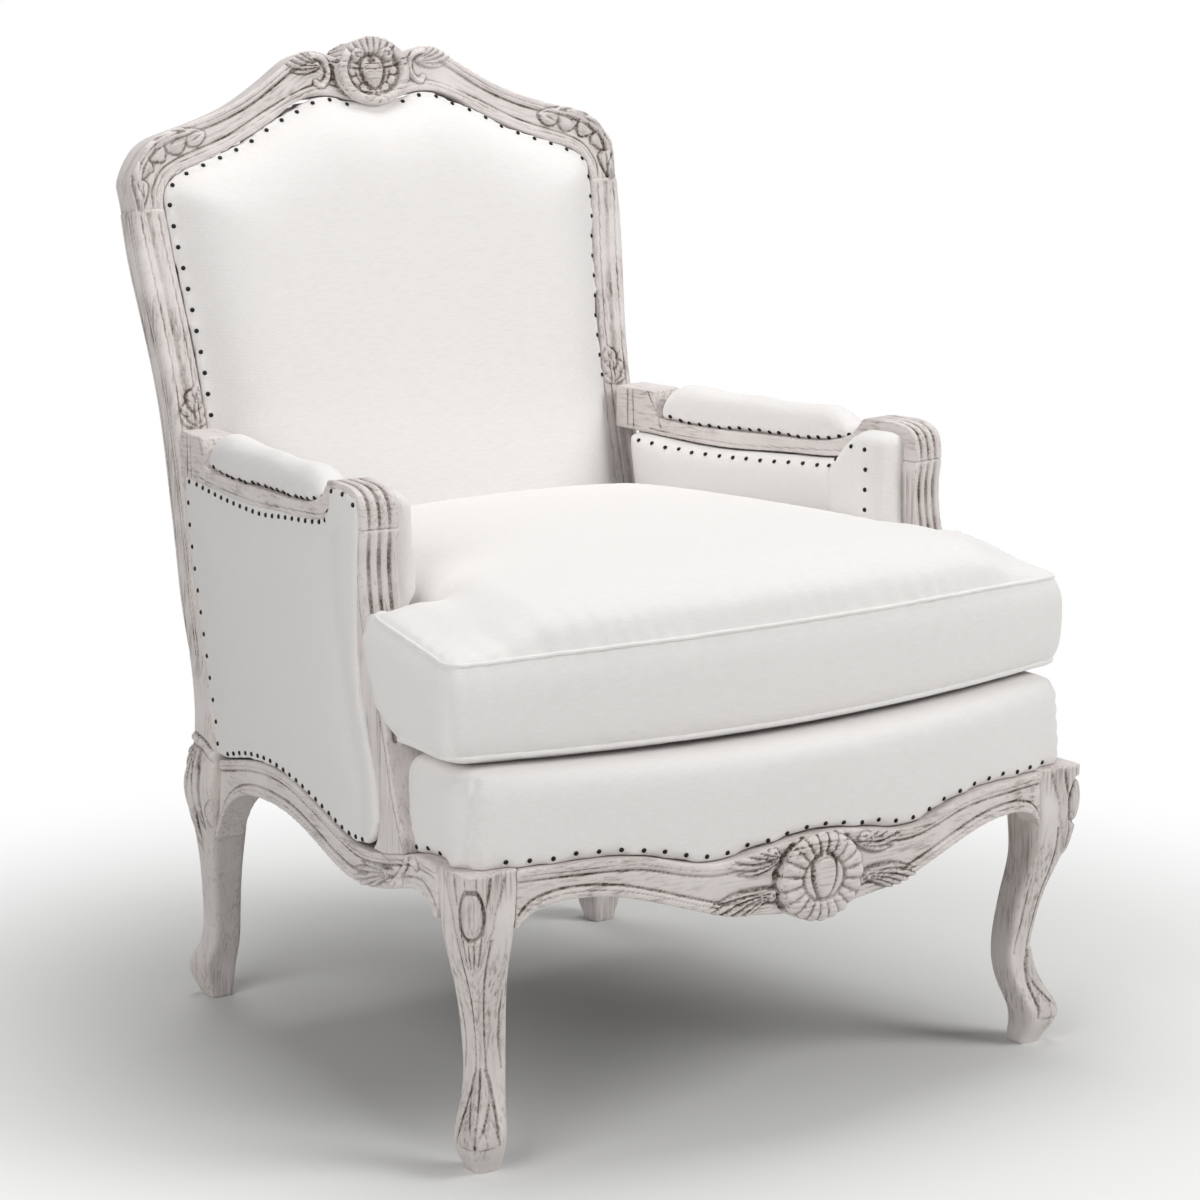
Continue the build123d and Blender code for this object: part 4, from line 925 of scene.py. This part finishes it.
def carve_arm_support():
    carving = blank("arm_support_left")
    carving.carved = 0.7 * step_up(-carving.normals[:, 1], 0.3, 0.7)
    carving.line(SIDE, SUPPORT_FRONT + (8.0, 0), 3.5, 1.2)
    carving.cord(SIDE, BASE_SCROLL, 6.5, 2.6)
    return carving, carving.places[:, [2, 0, 1]]


def carve_arm():
    carving = blank("arm_left")
    flat = SIDE.flat(carving.places)
    lip = step_up(flat[:, 1], 608, 634) * step_up(-flat[:, 0], -236, -214)
    carving.places[:, 2] += ARM_LIP_LIFT * lip
    carving.carved = 0.7 * step_up(-flat[:, 0], -232, -214)
    inside = Face(SIDE.origin, -SIDE.across, SIDE.up)
    # Lines on the block in front of the post
    block = ([(581, 594), (581, 640)], [(571, 594), (573, 640)], [(527, 600), (537, 620), (549, 640)])
    for face, flip in ((SIDE, 1), (inside, -1)):
        carving.line(face, (ARM_UNDER + (0, 5.0)) * (flip, 1), 3.0, 1.0)
        for path in block:
            carving.line(face, smooth_path(np.array(path) * (flip, 1)), 3.6, 1.4)
    return carving, carving.places[:, [1, 2, 0]]


class BERGERE_OT_legs_and_posts(bpy.types.Operator):
    """Carves the cabriole front legs and the back posts"""

    bl_idname = "bergere.legs_and_posts"
    bl_label = "Legs and posts"

    def execute(self, context):
        carve_pair("front_leg", carve_front_leg)
        carve_pair("back_post", carve_back_post)
        return {"FINISHED"}


class BERGERE_OT_crest(bpy.types.Operator):
    """Carves the crest rail with its cartouche and leaves"""

    bl_idname = "bergere.crest"
    bl_label = "Crest rail"

    def execute(self, context):
        carving, grain = carve_crest()
        carving.finish("crest_rail_carved", "crest_rail", grain)
        return {"FINISHED"}


class BERGERE_OT_seat_rails(bpy.types.Operator):
    """Carves the front rail's shell and the side rails"""

    bl_idname = "bergere.seat_rails"
    bl_label = "Seat rails"

    def execute(self, context):
        carving, grain = carve_front_rail()
        carving.finish("front_seat_rail_carved", "front_seat_rail", grain)
        carve_pair("side_seat_rail", carve_side_rail)
        rear = blank("rear_seat_rail", 2.4)
        rear.finish("rear_seat_rail_eased", "rear_seat_rail", rear.places.copy())
        return {"FINISHED"}


class BERGERE_OT_arms(bpy.types.Operator):
    """Carves the arms and their fluted supports"""

    bl_idname = "bergere.arms"
    bl_label = "Arms"

    def execute(self, context):
        carve_pair("arm_support", carve_arm_support)
        carve_pair("arm", carve_arm)
        return {"FINISHED"}


class BERGERE_OT_carcase(bpy.types.Operator):
    """Finishes the hidden pieces that hold the seat and the back together"""

    bl_idname = "bergere.carcase"
    bl_label = "Carcase"

    def execute(self, context):
        bare = plain_material("bare beech", "#C9A985", "#AD8A66", 30.0, (1, 6, 6), 0.7)
        jute = plain_material("jute webbing", "#A58B60", "#86704C", 900.0, (1, 1, 1), 0.95)
        cambric = plain_material("black cambric", "#2A2927", "#1D1C1B", 1200.0, (1, 1, 1), 0.95)
        finishes = {
            "corner_blocks": bare,
            "seat_cleats": bare,
            "seat_frame_dowels": bare,
            "back_frame_dowels": bare,
            "arm_dowels": bare,
            "back_bottom_rail": bare,
            "seat_webbing": jute,
            "back_webbing": jute,
            "dust_cover": cambric,
        }
        for name, material in finishes.items():
            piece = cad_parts[name]
            piece.data.materials.clear()
            piece.data.materials.append(material)
        return {"FINISHED"}


# Upholstery
# Each pad's mesh spacing in metres, and the most that its stuffing swells it in millimetres
PADS = {
    "cushion": (0.008, 3.5),
    "deck": (0.0085, 1.5),
    "back": (0.0068, 2.0),
    "outside back": (0.0052, 1.0),
    "outer side": (0.004, 0.8),
    "inner side": (0.005, 2.0),
    "arm": (0.004, 1.5),
}
# Heights of the cushion's two seams, its crown over the upper one, the rise of its ears at the arm supports
# and the sag of its lower front edge, in millimetres
TOP_SEAM = 506
LOW_SEAM = 408
CROWN = 64
EAR_RISE = 22.0
FRONT_SAG = 8.0


def stuffed(mesh, cap):
    """A pad's skin after a pass of cloth under pressure, held to a cap in millimetres."""
    cover = bpy.context.scene.bergere_cover
    start = places_of(mesh)
    holder = helper(mesh)
    cloth = holder.modifiers.new("Cloth", "CLOTH")
    cloth.settings.use_pressure = True
    cloth.settings.uniform_pressure_force = cover.pressure
    cloth.settings.effector_weights.gravity = 0.0
    cloth.point_cache.frame_start = 1
    cloth.point_cache.frame_end = cover.steps
    for step in range(1, cover.steps + 1):
        bpy.context.scene.frame_set(step)
    mesh = evaluated(holder)
    bpy.context.scene.frame_set(1)
    moves = places_of(mesh) - start
    far = np.linalg.norm(moves, axis=1)
    moves *= np.minimum(1.0, cap * MM / np.maximum(far, 1e-9))[:, None]
    mesh.vertices.foreach_set("co", (start + moves).ravel())
    mesh.update()
    return mesh


def subdivided(mesh):
    holder = helper(mesh)
    finer = holder.modifiers.new("Subdivision", "SUBSURF")
    finer.levels = 1
    finer.render_levels = 1
    return evaluated(holder)


def pad_piece(name, mesh, body, fill, *nodes):
    shade_smooth(mesh)
    piece = show_piece(name, mesh, body, "cover", cover_cotton(), *nodes)
    return piece


def side_x(y):
    """Where the side's plane lies across the chair at a depth."""
    return 310 + (274 - y) * 81 / 578


def ear_share(x, y):
    """How far a spot of the cushion belongs to its ears, which rise at the arm supports."""
    return step_up(x, 300, 345) * step_up(y, -335, -200)


def cushion_seam(height, inset, sag=0.0):
    """The cushion's outline at a height, from its front middle round by its left side."""
    ear = -236 + 0.4 * (min(height, TOP_SEAM) - 402)
    notch = side_x(ear) - 71
    back = 218 - inset
    half = 386 - inset
    front = -345 + inset
    round_wide, round_deep = 34, 30
    points = [(x, front - 32 * (1 - (x / half) ** 2)) for x in np.linspace(0, half - round_wide, 14)]
    x, y = points[-1]
    for turn in np.radians((25, 50, 75)):
        depth = y + round_deep * (1 - math.cos(turn)) + 6 * math.sin(turn)
        points.append((x + round_wide * math.sin(turn), depth))
    points += [(half - 2, front + 45), (half - 4, ear - 12), (half - 14, ear - 2), (notch + 8, ear - 1)]
    points += [(notch, ear + 8), (side_x(back) - 71, back - 14), (side_x(back) - 84, back), (0, back)]
    points = np.array(points)
    points += corner_pull(points[:, 0], points[:, 1])
    lift = EAR_RISE * step_up(height, 380, TOP_SEAM)
    left = [(x, y, height - sag * front_share(x, y) + lift * ear_share(x, y)) for x, y in points]
    return np.array(left + [(-x, y, z) for x, y, z in left[-2:0:-1]])


def corner_pull(x, y):
    """How far the sewn front corners of the cushion stand out from its rounded outline."""
    along = (np.abs(x) - 376 + y + 335) / math.sqrt(2)
    out = (np.abs(x) - 352 - y - 311) / math.sqrt(2)
    pull = 6.0 * np.exp(-((along / 18) ** 2)) * step_up(out, 0, 34)
    return np.stack([np.sign(x) * pull, -pull], -1)


def front_share(x, y):
    """How near a spot of the seat is to the middle of its front edge, from nothing to one."""
    return step_up(-y, 260, 345) * np.clip(1 - (x / 370) ** 2, 0, 1)


def cushion_skin():
    """The loose cushion: its top is a skin blown up from the seam, its band bulges and its front sags."""
    grid, swell = PADS["cushion"]
    form = Carving(remeshed("seat_cushion", grid))
    above = form.places[:, 2] > TOP_SEAM + 0.5
    skin = np.zeros(len(above))
    for _ in range(2500):
        skin = np.where(above, form.around(skin) + 1.0, 0.0)
    across = np.abs(form.places[:, 0])
    power = 0.45 + 0.45 * step_up(across, 270, 350)
    crown = CROWN * (skin / skin.max()) ** power * (1 - 0.55 * step_up(across, 300, 372))
    form.places[above, 2] = TOP_SEAM + crown[above]
    band = np.clip(1 - ((form.places[:, 2] - 454) / 52) ** 2, 0, 1)
    form.places += (4.0 * band)[:, None] * form.normals * (1, 1, 0)
    below = step_up(-form.places[:, 2], -470, -410)
    form.places[:, 2] -= FRONT_SAG * below * front_share(form.places[:, 0], form.places[:, 1])
    # The ears rise at the arm supports and press round their outer edge
    across = np.abs(form.places[:, 0])
    ear = ear_share(across, form.places[:, 1])
    form.places[:, 2] += EAR_RISE * ear * step_up(form.places[:, 2], 380, TOP_SEAM)
    form.places[:, 1] += 22.0 * step_up(across, 366, 380) * step_up(form.places[:, 1], -262, -212)
    form.ease(2)
    form.places[:, :2] += corner_pull(form.places[:, 0], form.places[:, 1])
    form.face_up()
    made = Carving(subdivided(stuffed(form.mesh, swell)))
    # Gathers about 26 mm apart that fade away from the top seam, and fainter ones on the band
    seam = cushion_seam(TOP_SEAM, 2)[:, :2]
    along, gap, _ = near_path(made.places[:, :2], np.concatenate([seam, seam[:1]]))
    over = step_up(made.places[:, 2], 503, 511)
    along = along + 0.35 * np.abs(gap) * over
    pulls = np.sin(along / 4.1 + 2.4 * np.sin(along / 37)) * (0.6 + 0.4 * np.sin(along / 83))
    band_fade = np.exp(-np.abs(made.places[:, 2] - 500) / 26)
    reach = np.exp(-np.abs(gap) / 24) * over + 0.6 * (1 - over) * band_fade
    made.lift(1.25 * pulls * reach)
    made.face_up()
    return made.mesh


def deck_skin():
    """The fixed seat under the cushion: a rolled front edge with a sewn corner at each end."""
    grid, swell = PADS["deck"]
    form = Carving(remeshed("seat_deck_pad", grid))
    upper = step_up(form.places[:, 2], 322, 365)
    form.places += upper[:, None] * (form.eased(16) - form.places)
    form.places[:, 2] -= 10.0 * upper * front_share(form.places[:, 0], form.places[:, 1])
    form.face_up()
    made = Carving(subdivided(stuffed(form.mesh, swell)))
    sides = made.fold()
    corner = np.array([(6.0, 306.0), (3.0, 350.0), (0.0, 392.0)])
    made.line(KNEE, corner, 11.0, 2.4)
    spots, flat = made.picked(KNEE, corner, 40.0, CARVED_SLOPE)
    _, gap, _ = near_path(flat, corner)
    pulls = 1.1 * np.sin(flat[:, 1] / 2.6 + 0.06 * np.abs(gap)) * np.exp(-np.abs(gap) / 12)
    made.places[spots] += pulls[:, None] * KNEE.out
    made.unfold(sides)
    made.face_up()
    return made.mesh


def back_skin():
    """The back pad: steep at the nailed edge, nearly flat over its middle and tucked in behind the seat."""
    grid, swell = PADS["back"]
    edge = np.concatenate([[(267, rise(370))], OPENING + outward(OPENING) * 1.2])
    form = Carving(remeshed(None, grid, [(BACK, both_sides(edge), -12.0, 2.0)]))
    flat = BACK.flat(form.places)
    _, gap, _ = near_path(np.abs(flat[:, :2]), OPENING)
    share = np.clip((np.abs(gap) - 8) / 110, 0, 1)
    level = 1.5 + 38 * (1 - (1 - share) ** 3) ** 0.85 * step_up(flat[:, 1], rise(384), rise(446))
    front = form.facing(BACK.out, 0.3) & (flat[:, 2] > 0)
    form.places += ((level - flat[:, 2]) * front)[:, None] * BACK.out
    kept = step_up(np.abs(gap), 4, 14)[:, None]
    form.places += kept * (form.eased(6) - form.places)
    form.face_up()
    return subdivided(stuffed(form.mesh, swell))


def outside_skin():
    """The cover of the outside back, drawn down over the bottom rail and nailed to the rear seat rail."""
    grid, swell = PADS["outside back"]
    left = np.array(raked([(266.5, 430), (268, 405), (273.5, 362), (273.5, 306)]))
    skirt = np.concatenate([left, (left * (-1, 1))[::-1]])
    form = Carving(remeshed("back_outer_panel", grid, [(BACK, skirt, -31.0, -24.0)]))
    form.places[:, 1] -= 5.0 * step_up(-form.places[:, 2], -352, -306)
    form.ease(2)
    return stuffed(form.mesh, swell)


def outer_skin():
    """The outer cover of a side: it lies on the support and the lip and sinks between the rails behind."""
    grid, swell = PADS["outer side"]
    form = Carving(remeshed(None, grid, [(SIDE, COVER, -12.0, 0.0)]))
    flat = SIDE.flat(form.places)
    support = np.interp(flat[:, 1], (345, 420, 500, 545, 606), (112, 140, 166, 174, 174))
    behind = step_up(flat[:, 0], support + 2, support + 44)
    behind *= 1 - step_up(flat[:, 1], 594, 612) * (flat[:, 0] < 226)
    _, gap, _ = near_path(flat[:, :2], np.concatenate([COVER, COVER[:1]]))
    level = 1.8 - 5.2 * behind + 4.0 * behind * step_up(np.abs(gap), 0, 90)
    front = form.facing(SIDE.out, 0.4) & (flat[:, 2] > -2)
    form.places += ((level - flat[:, 2]) * front)[:, None] * SIDE.out
    form.ease(2)
    return stuffed(form.mesh, swell)


def inner_skin():
    """The inner pad of a side with the roll that it makes beside the support."""
    roll = np.array([(158, 526), (162, 631), (210, 631), (240, 596), (240, 526)], float)
    wraps = [(SIDE, INNER_WRAP, -59.0, -36.0), (SIDE, roll, -72.0, -36.0)]
    grid, swell = PADS["inner side"]
    form = Carving(remeshed("side_inner_pad_left", grid, wraps))
    form.ease(12)
    return stuffed(form.mesh, swell)


def arm_skin():
    """The arm pad: an even roll with rounded ends."""
    grid, swell = PADS["arm"]
    form = Carving(remeshed("arm_pad_left", grid))
    flat = SIDE.flat(form.places)
    marks = np.linspace(240, 528, 30)
    tops = [flat[np.abs(flat[:, 0] - mark) < 7, 1].max() for mark in marks]
    spots = (236, 242, 254, 276, 500, 516, 526, 532)
    roll = np.interp(flat[:, 0], spots, (624, 636, 646, 651, 651, 647, 640, 630))
    base = 610
    share = np.clip((flat[:, 1] - base) / (np.interp(flat[:, 0], marks, tops) - base), 0, 1)
    form.places[:, 2] = np.where(share > 0, base + share * (roll - base), form.places[:, 2])
    form.ease(3)
    return subdivided(stuffed(form.mesh, swell))


def welt(name, mesh, seam, thickness):
    """Piping along a seam: a round cord under the cover, laid on the nearest place of the pad."""
    surface = surface_of(mesh)
    line = bpy.data.curves.new(name, "CURVE")
    line.dimensions = "3D"
    line.bevel_depth = thickness / 2
    line.bevel_resolution = 3
    line.resolution_u = 3
    spline = line.splines.new("NURBS")
    spots = smooth_path(np.concatenate([seam, seam[:1]]), 9.0)[:-1]
    spline.points.add(len(spots) - 1)
    for point, spot in zip(spline.points, spots):
        near, normal, _, _ = surface.find_nearest(Vector(spot) * MM)
        point.co = (*(near + normal * thickness * 0.1), 1)
    spline.use_cyclic_u = True
    spline.order_u = 4
    piping = evaluated(helper(line))
    shade_smooth(piping)
    return show_piece(name, piping, "cushion", "cover", cover_cotton())


class BERGERE_OT_cushion(bpy.types.Operator):
    """Stuffs the loose T-shaped cushion and pipes its seams"""

    bl_idname = "bergere.cushion"
    bl_label = "Seat cushion"

    def execute(self, context):
        cover = context.scene.bergere_cover
        piece = pad_piece("seat_cushion_stuffed", cushion_skin(), "cushion", 0.8, "seat_cushion")
        welt("cushion_top_welt", piece.data, cushion_seam(TOP_SEAM, 0), cover.welt * 0.75)
        welt("cushion_low_welt", piece.data, cushion_seam(LOW_SEAM, 0, FRONT_SAG), cover.welt)
        return {"FINISHED"}


class BERGERE_OT_pads(bpy.types.Operator):
    """Stuffs the deck, the back, the sides and the arm pads"""

    bl_idname = "bergere.pads"
    bl_label = "Fixed upholstery"

    def execute(self, context):
        pad_piece("seat_deck_stuffed", deck_skin(), "frame", 0.9, "seat_deck_pad")
        pad_piece("back_pad_stuffed", back_skin(), "frame", 0.9, "back_pad")
        pad_piece("back_outer_cover", outside_skin(), "frame", 1.0, "back_outer_panel")
        for name, make, fill in (
            ("side_inner_pad", inner_skin, 0.9),
            ("side_outer_panel", outer_skin, 1.0),
            ("arm_pad", arm_skin, 0.9),
        ):
            mesh = make()
            pad_piece(name + "_left_stuffed", mesh, "frame", fill, name + "_left")
            pad_piece(name + "_right_stuffed", mirrored(mesh), "frame", fill, name + "_right")
        return {"FINISHED"}


# Nails
# How far the middle of a nail head stands off its cover, in metres
NAIL_LIFT = 0.0003


def nail_tree():
    """Nail heads spaced along lines that carry their spacing and the way they face."""
    nails = bpy.context.scene.bergere_nails
    tree = bpy.data.node_groups.new("nail rows", "GeometryNodeTree")
    tree.interface.new_socket("Rows", in_out="INPUT", socket_type="NodeSocketGeometry")
    radius = tree.interface.new_socket("Head radius", in_out="INPUT", socket_type="NodeSocketFloat")
    radius.default_value = nails.head / 2
    dome = tree.interface.new_socket("Dome", in_out="INPUT", socket_type="NodeSocketFloat")
    dome.default_value = nails.dome
    tree.interface.new_socket("Nails", in_out="OUTPUT", socket_type="NodeSocketGeometry")
    given = add_node(tree, "NodeGroupInput")
    lines = add_node(tree, "GeometryNodeMeshToCurve", {"Mesh": given.outputs["Rows"]})
    spacing = add_node(tree, "GeometryNodeInputNamedAttribute", {"Name": "spacing"}, data_type="FLOAT")
    facing = add_node(
        tree, "GeometryNodeInputNamedAttribute", {"Name": "facing"}, data_type="FLOAT_VECTOR"
    )
    spots = add_node(
        tree, "GeometryNodeResampleCurve", {"Curve": lines, "Length": spacing}, mode="LENGTH"
    )
    ball = add_node(
        tree,
        "GeometryNodeMeshUVSphere",
        {"Segments": 10, "Rings": 6, "Radius": given.outputs["Head radius"]},
    )
    squat = add_node(tree, "ShaderNodeCombineXYZ", {0: 1.0, 1: 1.0, 2: given.outputs["Dome"]})
    head = add_node(tree, "GeometryNodeTransform", {"Geometry": ball.outputs["Mesh"], "Scale": squat})
    turn = add_node(tree, "FunctionNodeAlignRotationToVector", {"Vector": facing}, axis="Z")
    heads = add_node(
        tree, "GeometryNodeInstanceOnPoints", {"Points": spots, "Instance": head, "Rotation": turn}
    )
    smooth = add_node(tree, "GeometryNodeSetShadeSmooth", {"Geometry": heads})
    real = add_node(tree, "GeometryNodeRealizeInstances", {"Geometry": smooth})
    done = add_node(tree, "GeometryNodeSetMaterial", {"Geometry": real, "Material": blackened_iron()})
    add_node(tree, "NodeGroupOutput", {"Nails": done})
    return tree


def nail_rows():
    """Each row of nails: its cover, its line in millimetres, its spacing in metres and the way it faces."""
    inner = OPENING[OPENING[:, 1] > rise(650)]
    back_line = BACK.solid((inner - outward(inner) * 4.5)[inner[:, 0] > 34], 4.0)
    rows = [("back_pad_stuffed", back_line * (side, 1, 1), 0.0225, BACK.out) for side in (1, -1)]
    front_line = FRONT.solid(both_sides(FRONT_RAIL_TOP[::-1])[::-1] + (0, 5.5))
    front_line[:, 1] = -376 - 46 * (1 - (front_line[:, 0] / 344) ** 2)
    rows.append(("seat_deck_stuffed", front_line, 0.0235, FRONT.out))
    low_edge = [
        (490, 308), (438, 320), (382, 325), (338, 322), (294, 316), (254, 308), (219, 300), (182, 293),
        (148, 294),
    ]
    rear_edge = [
        (516, 314), (518, 329), (522, 345), (548, 425), (573, 505), (583, 546), (585, 569), (582, 588),
    ]
    top_edge = [
        (561, 588), (490, 584), (395, 583), (334, 589), (280, 594), (253, 597), (230, 602), (214, 613),
    ]
    lip_edge = [(204, 636), (184, 637), (164, 636), (152, 630)]
    wrap_edge = [(182, 530), (183, 560), (183, 600), (186, 618), (196, 623), (208, 621)]
    pad_edge = [(513, 612), (493, 603), (401, 605), (354, 606), (296, 611), (245, 619), (231, 630)]
    deck_edge = [(-6, 309), (20, 310), (40, 310)]
    for sign, name in ((1, "left"), (-1, "right")):
        flip = np.array((sign, 1, 1))
        way = SIDE.out * flip
        for flat, out, gap in (
            (low_edge, -1, 0.0165), (rear_edge, -1, 0.022), (top_edge, -1, 0.0165), (lip_edge, 3, 0.018),
        ):
            line = SIDE.solid(smooth_path(flat), out) * flip
            rows.append((f"side_outer_panel_{name}_stuffed", line, gap, way))
        rows.append(("seat_deck_stuffed", SIDE.solid(smooth_path(deck_edge), -4) * flip, 0.02, way))
        for flat in (smooth_path(wrap_edge), ARM_UNDER[ARM_UNDER[:, 0] > 236] + (0, 6)):
            rows.append((f"side_inner_pad_{name}_stuffed", SIDE.solid(flat, -76) * flip, 0.0205, -way))
        for out, side in ((2, way), (-44, -way)):
            line = SIDE.solid(smooth_path(pad_edge), out) * flip
            rows.append((f"arm_pad_{name}_stuffed", line, 0.0155, side))
    outline = np.concatenate([[(262, rise(328))], OPENING - outward(OPENING) * 8.0])
    foot = np.array(raked([(262, 313), (0, 313)]))
    for path, out in ((outline, -80), (foot, -40)):
        rows.append(("back_outer_cover", BACK.solid(both_sides(path), out), 0.0225, -BACK.out))
    return rows


class BERGERE_OT_nails(bpy.types.Operator):
    """Drives rows of iron nails along the edges of the covers"""

    bl_idname = "bergere.nails"
    bl_label = "Nails"

    def execute(self, context):
        places, edges, facings, spacings = [], [], [], []
        for piece, line, spacing, way in nail_rows():
            surface = surface_of(bpy.data.objects[piece].data)
            first = len(places)
            for spot in line:
                near, normal, _, _ = surface.find_nearest(Vector(spot) * MM)
                if normal.dot(Vector(way)) < 0.2:
                    normal = Vector(way)
                places.append(near + normal * NAIL_LIFT)
                facings.append(normal)
                spacings.append(spacing)
            edges += [(i, i + 1) for i in range(first, len(places) - 1)]
        mesh = bpy.data.meshes.new("nail_lines")
        mesh.from_pydata(places, edges, [])
        layer = mesh.attributes.new("facing", "FLOAT_VECTOR", "POINT")
        layer.data.foreach_set("vector", np.array(facings, np.float32).ravel())
        layer = mesh.attributes.new("spacing", "FLOAT", "POINT")
        layer.data.foreach_set("value", np.array(spacings, np.float32))
        holder = helper(mesh)
        holder.modifiers.new("Nail rows", "NODES").node_group = nail_tree()
        show_piece("cover_nails", evaluated(holder), "frame", None, blackened_iron())
        return {"FINISHED"}


# Studio
# Each lamp's name, place and diameter in metres, and its power in watts
LAMPS = (
    ("key", (2.2, -2.6, 2.6), 2.0, 76.0),
    ("fill", (-2.8, -1.2, 1.9), 2.4, 42.0),
    ("top", (0.3, 0.4, 3.4), 2.2, 47.0),
)
LAMP_TARGET = Vector((0, 0, 0.45))
CAMERA_TARGET = Vector((0, -0.051, 0.475))
FLOOR_HALF = 9


class BERGERE_OT_studio(bpy.types.Operator):
    """Lays the floor and sets the lights and the camera"""

    bl_idname = "bergere.studio"
    bl_label = "Studio"

    def execute(self, context):
        studio = context.scene.bergere_studio
        self.floor(studio)
        self.world(context)
        for lamp in LAMPS:
            self.lamp(*lamp)
        self.camera(context, studio)
        context.scene.view_settings.view_transform = "Standard"
        return {"FINISHED"}

    def floor(self, studio):
        mesh = bpy.data.meshes.new("studio_floor")
        corners = [(x * FLOOR_HALF, y * FLOOR_HALF, 0) for x, y in ((-1, -1), (1, -1), (1, 1), (-1, 1))]
        mesh.from_pydata(corners, [], [(0, 1, 2, 3)])
        material, tree = new_material("studio floor paper")
        # Paper that fades to a white background away from the chair
        place = add_node(tree, "ShaderNodeTexCoord")
        shift = add_node(
            tree, "ShaderNodeMapping", {"Vector": place.outputs["Object"], "Location": (-0.05, 0.0, 0)}
        )
        away = add_node(tree, "ShaderNodeVectorMath", {0: shift}, operation="LENGTH")
        fade = add_node(
            tree,
            "ShaderNodeMapRange",
            {0: away.outputs["Value"], "From Min": 0.4, "From Max": 1.2},
            interpolation_type="SMOOTHSTEP",
        )
        paper = add_node(tree, "ShaderNodeBsdfDiffuse", {"Color": studio.floor})
        white = add_node(tree, "ShaderNodeEmission", {"Color": (1, 1, 1, 1), "Strength": 1.0})
        seen = add_node(tree, "ShaderNodeMath", {0: self.seen_rays(tree), 1: fade}, operation="MULTIPLY")
        mixed = add_node(tree, "ShaderNodeMixShader", {0: seen, 1: paper, 2: white})
        add_node(tree, "ShaderNodeOutputMaterial", {"Surface": mixed})
        mesh.materials.append(material)
        floor = bpy.data.objects.new("studio_floor", mesh)
        bpy.context.scene.collection.objects.link(floor)

    def seen_rays(self, tree):
        """The node that is one for rays that look at the studio, directly or in a reflection."""
        path = add_node(tree, "ShaderNodeLightPath")
        direct = add_node(
            tree,
            "ShaderNodeMath",
            {0: path.outputs["Is Camera Ray"], 1: path.outputs["Is Glossy Ray"]},
            operation="MAXIMUM",
        )
        every = add_node(
            tree,
            "ShaderNodeMath",
            {0: direct, 1: path.outputs["Is Transmission Ray"]},
            operation="MAXIMUM",
        )
        return every

    def world(self, context):
        world = bpy.data.worlds.new("studio light")
        context.scene.world = world
        world.use_nodes = True
        tree = world.node_tree
        tree.nodes.clear()
        strength = add_node(
            tree, "ShaderNodeMapRange", {0: self.seen_rays(tree), "To Min": 0.13, "To Max": 1.0}
        )
        sky = add_node(tree, "ShaderNodeBackground", {"Color": (1, 1, 1, 1), "Strength": strength})
        add_node(tree, "ShaderNodeOutputWorld", {"Surface": sky})

    def lamp(self, name, place, size, power):
        light = bpy.data.lights.new(name, "AREA")
        light.shape = "DISK"
        light.size = size
        light.energy = power
        lamp = bpy.data.objects.new(name, light)
        lamp.location = place
        lamp.rotation_euler = (LAMP_TARGET - Vector(place)).to_track_quat("-Z", "Y").to_euler()
        bpy.context.scene.collection.objects.link(lamp)

    def camera(self, context, studio):
        lens = bpy.data.cameras.new("photo view")
        lens.sensor_width = 36.0
        lens.lens = studio.lens
        camera = bpy.data.objects.new("photo view", lens)
        back = Vector(
            (
                math.sin(studio.azimuth) * math.cos(studio.elevation),
                -math.cos(studio.azimuth) * math.cos(studio.elevation),
                math.sin(studio.elevation),
            )
        )
        camera.location = CAMERA_TARGET + back * studio.distance
        camera.rotation_euler = (-back).to_track_quat("-Z", "Y").to_euler()
        context.scene.collection.objects.link(camera)
        context.scene.camera = camera


class BERGERE_PT_panel(bpy.types.Panel):
    """Lists the chair's pieces and settings"""

    bl_idname = "BERGERE_PT_panel"
    bl_label = "Bergere"
    bl_space_type = "VIEW_3D"
    bl_region_type = "UI"
    bl_category = "Bergere"

    def draw(self, context):
        for settings in SETTINGS:
            box = self.layout.box()
            group = getattr(context.scene, settings)
            for name in group.bl_rna.properties.keys():
                if name not in ("rna_type", "name"):
                    box.prop(group, name)
        for operator in OPERATORS:
            self.layout.operator(operator.bl_idname)


SETTINGS = {
    "bergere_wood": ShowWoodSettings,
    "bergere_cover": CoverSettings,
    "bergere_nails": NailSettings,
    "bergere_studio": StudioSettings,
}
OPERATORS = (
    BERGERE_OT_studio,
    BERGERE_OT_legs_and_posts,
    BERGERE_OT_crest,
    BERGERE_OT_seat_rails,
    BERGERE_OT_arms,
    BERGERE_OT_carcase,
    BERGERE_OT_pads,
    BERGERE_OT_cushion,
    BERGERE_OT_nails,
)


def register():
    for settings in SETTINGS.values():
        bpy.utils.register_class(settings)
    for name, settings in SETTINGS.items():
        setattr(bpy.types.Scene, name, PointerProperty(type=settings))
    for operator in OPERATORS:
        bpy.utils.register_class(operator)
    bpy.utils.register_class(BERGERE_PT_panel)


def unregister():
    bpy.utils.unregister_class(BERGERE_PT_panel)
    for operator in reversed(OPERATORS):
        bpy.utils.unregister_class(operator)
    for name, settings in SETTINGS.items():
        delattr(bpy.types.Scene, name)
        bpy.utils.unregister_class(settings)


def main():
    register()
    for operator in OPERATORS:
        group, name = operator.bl_idname.split(".")
        getattr(getattr(bpy.ops, group), name)()


if __name__ == "__main__":
    main()
